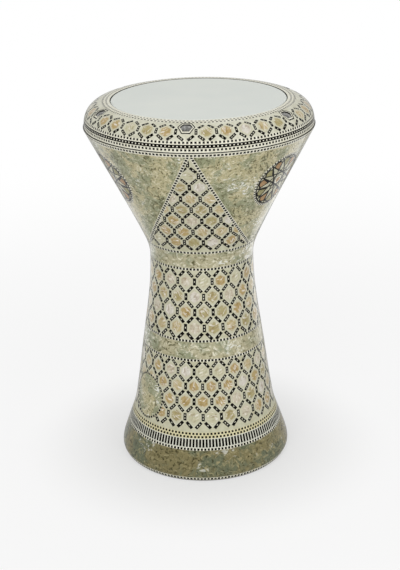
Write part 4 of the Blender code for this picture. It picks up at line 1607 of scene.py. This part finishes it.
# %% [markdown]
# A glossy round thing is lit with soft boxes. One large lamp would leave a single hard streak, so a key and
# a fill stand to the camera's left and right, with weaker boxes above and behind for the edges. The
# photograph also has a milky band down each side, where the resin mirrors something pale beside the drum.
# Two cards on the floor behind it give that band. They show in reflections alone, so they cast no light on
# the floor.

# %% Soft boxes and cards
LOOK_AT = (0.0, 0.0, 0.22)
CARD_BACK, CARD_UP, CARD_SIZE = 0.42, 0.003, (0.38, 0.42)


def area_light(name, place, size, strength):
    """A soft box that looks at the drum. Strength is its brightness, where 1 is white."""
    data = bpy.data.lights.new(name, "AREA")
    data.shape = "RECTANGLE"
    data.size, data.size_y = size
    data.energy = strength * math.pi * size[0] * size[1]
    lamp = bpy.data.objects.new(name, data)
    bpy.context.collection.objects.link(lamp)
    lamp.location = place
    direction = lamp.location - Vector(LOOK_AT)
    lamp.rotation_euler = direction.to_track_quat("Z", "Y").to_euler()
    return lamp


def facing(side, back, up):
    """A place given to the camera's right, away from the camera and up, from the drum's foot."""
    c, s = math.cos(CAMERA_TURN), math.sin(CAMERA_TURN)
    return side * c - back * s, side * s + back * c, up


area_light("key", facing(-0.7, -1.6, 1.5), (1.0, 0.8), 3.7)
area_light("fill", facing(1.0, -1.6, 1.0), (0.9, 1.0), 2.6)
area_light("top", facing(0.0, 0.1, 1.9), (1.1, 1.1), 0.6)
area_light("back", facing(0.6, 1.5, 2.0), (1.2, 0.9), 0.7)
for name, side, strength in (("left_card", -0.46, 0.5), ("right_card", 0.46, 0.85)):
    card = area_light(name, facing(side, CARD_BACK, CARD_UP), CARD_SIZE, strength)
    card.rotation_euler = (math.pi, 0.0, CAMERA_TURN)
    card.visible_camera = False
    card.visible_diffuse = False

# %% [markdown]
# The backdrop is white where the camera sees it, and half as bright where it lights the drum, or the drum
# would be washed out. Light Path tells the two apart. In reflections the backdrop is darker on the camera's
# side and lighter behind the drum, as a studio is.

# %% Backdrop
SKY_LIGHT = 0.50
SKY_MORE = 0.50
MIRROR_BACK, MIRROR_FRONT = 0.45, -0.25

world = bpy.data.worlds.new("studio")
bpy.context.scene.world = world
world.use_nodes = True
sky = world.node_tree
backdrop = sky.nodes["Background"]
path = sky.nodes.new("ShaderNodeLightPath").outputs
seen = maths(sky, "MAXIMUM", path["Is Camera Ray"], path["Is Transmission Ray"])
direction = sky.nodes.new("ShaderNodeTexCoord").outputs["Generated"]
towards_back = add_node(sky, "ShaderNodeVectorMath", {"operation": "DOT_PRODUCT"}, i0=direction)
towards_back.inputs[1].default_value = facing(0.0, 1.0, 0.0)
behind = between(sky, towards_back.outputs["Value"], -0.3, 0.5)
more = maths(sky, "MULTIPLY_ADD", behind, MIRROR_BACK, MIRROR_FRONT)
mirrored = maths(sky, "MULTIPLY", path["Is Glossy Ray"], more)
level = maths(sky, "MULTIPLY_ADD", seen, SKY_MORE, SKY_LIGHT)
level = maths(sky, "ADD", level, mirrored)
sky.links.new(level, backdrop.inputs["Strength"])
backdrop.inputs["Color"].default_value = (1.0, 1.0, 1.0, 1.0)
bpy.context.scene.view_settings.view_transform = "Standard"
print("backdrop", world.name)

# %% [markdown]
# The floor has to be nearly white and still keep the drum's shadow. A white floor with lamps strong enough
# to show it white would burn the drum out. So where the camera sees it, the floor's material is mixed with
# plain white light, less of it close to the drum and more of it further off. This paints shade round the
# drum, so the floor there is darker than its real shadow alone would make it.

# %% Floor
FLOOR_HALF = 6.0
FLOOR_DOWN = 0.0002
NEAR_GLOW = 0.55
MIDDLE_RING, MIDDLE_GLOW = (0.10, 0.24), 0.27
FAR_RING, FAR_GLOW = (0.25, 1.3), 0.18

floor_mesh = bpy.data.meshes.new("floor")
corners = bar((0.0, 0.0), 0.0, 2 * FLOOR_HALF, 2 * FLOOR_HALF)
floor_mesh.from_pydata([(x, y, -FLOOR_DOWN) for x, y in corners.tolist()], [], [(0, 1, 2, 3)])
floor = bpy.data.objects.new("floor", floor_mesh)
bpy.context.collection.objects.link(floor)
material, tree, shader, coords = start_material("floor")
shader.inputs["Base Color"].default_value = (0.80, 0.80, 0.80, 1.0)
shader.inputs["Roughness"].default_value = 0.9
glow = add_node(tree, "ShaderNodeEmission", Strength=1.0)
path = tree.nodes.new("ShaderNodeLightPath").outputs
seen = maths(tree, "MAXIMUM", path["Is Camera Ray"], path["Is Transmission Ray"])
blend = tree.nodes.new("ShaderNodeMixShader")
flat_place = add_node(tree, "ShaderNodeVectorMath", {"operation": "LENGTH"}, i0=coords).outputs["Value"]
# Painted shade: less glow near the drum makes the floor darker round it, besides its real shadow.
pale = maths(tree, "MULTIPLY_ADD", between(tree, flat_place, *MIDDLE_RING), MIDDLE_GLOW, NEAR_GLOW)
pale = maths(tree, "MULTIPLY_ADD", between(tree, flat_place, *FAR_RING), FAR_GLOW, pale)
tree.links.new(maths(tree, "MULTIPLY", seen, pale), blend.inputs[0])
tree.links.new(shader.outputs[0], blend.inputs[1])
tree.links.new(glow.outputs[0], blend.inputs[2])
tree.links.new(blend.outputs[0], tree.nodes["Material Output"].inputs["Surface"])
floor_mesh.materials.append(material)
print("floor", 2 * FLOOR_HALF, "m wide")
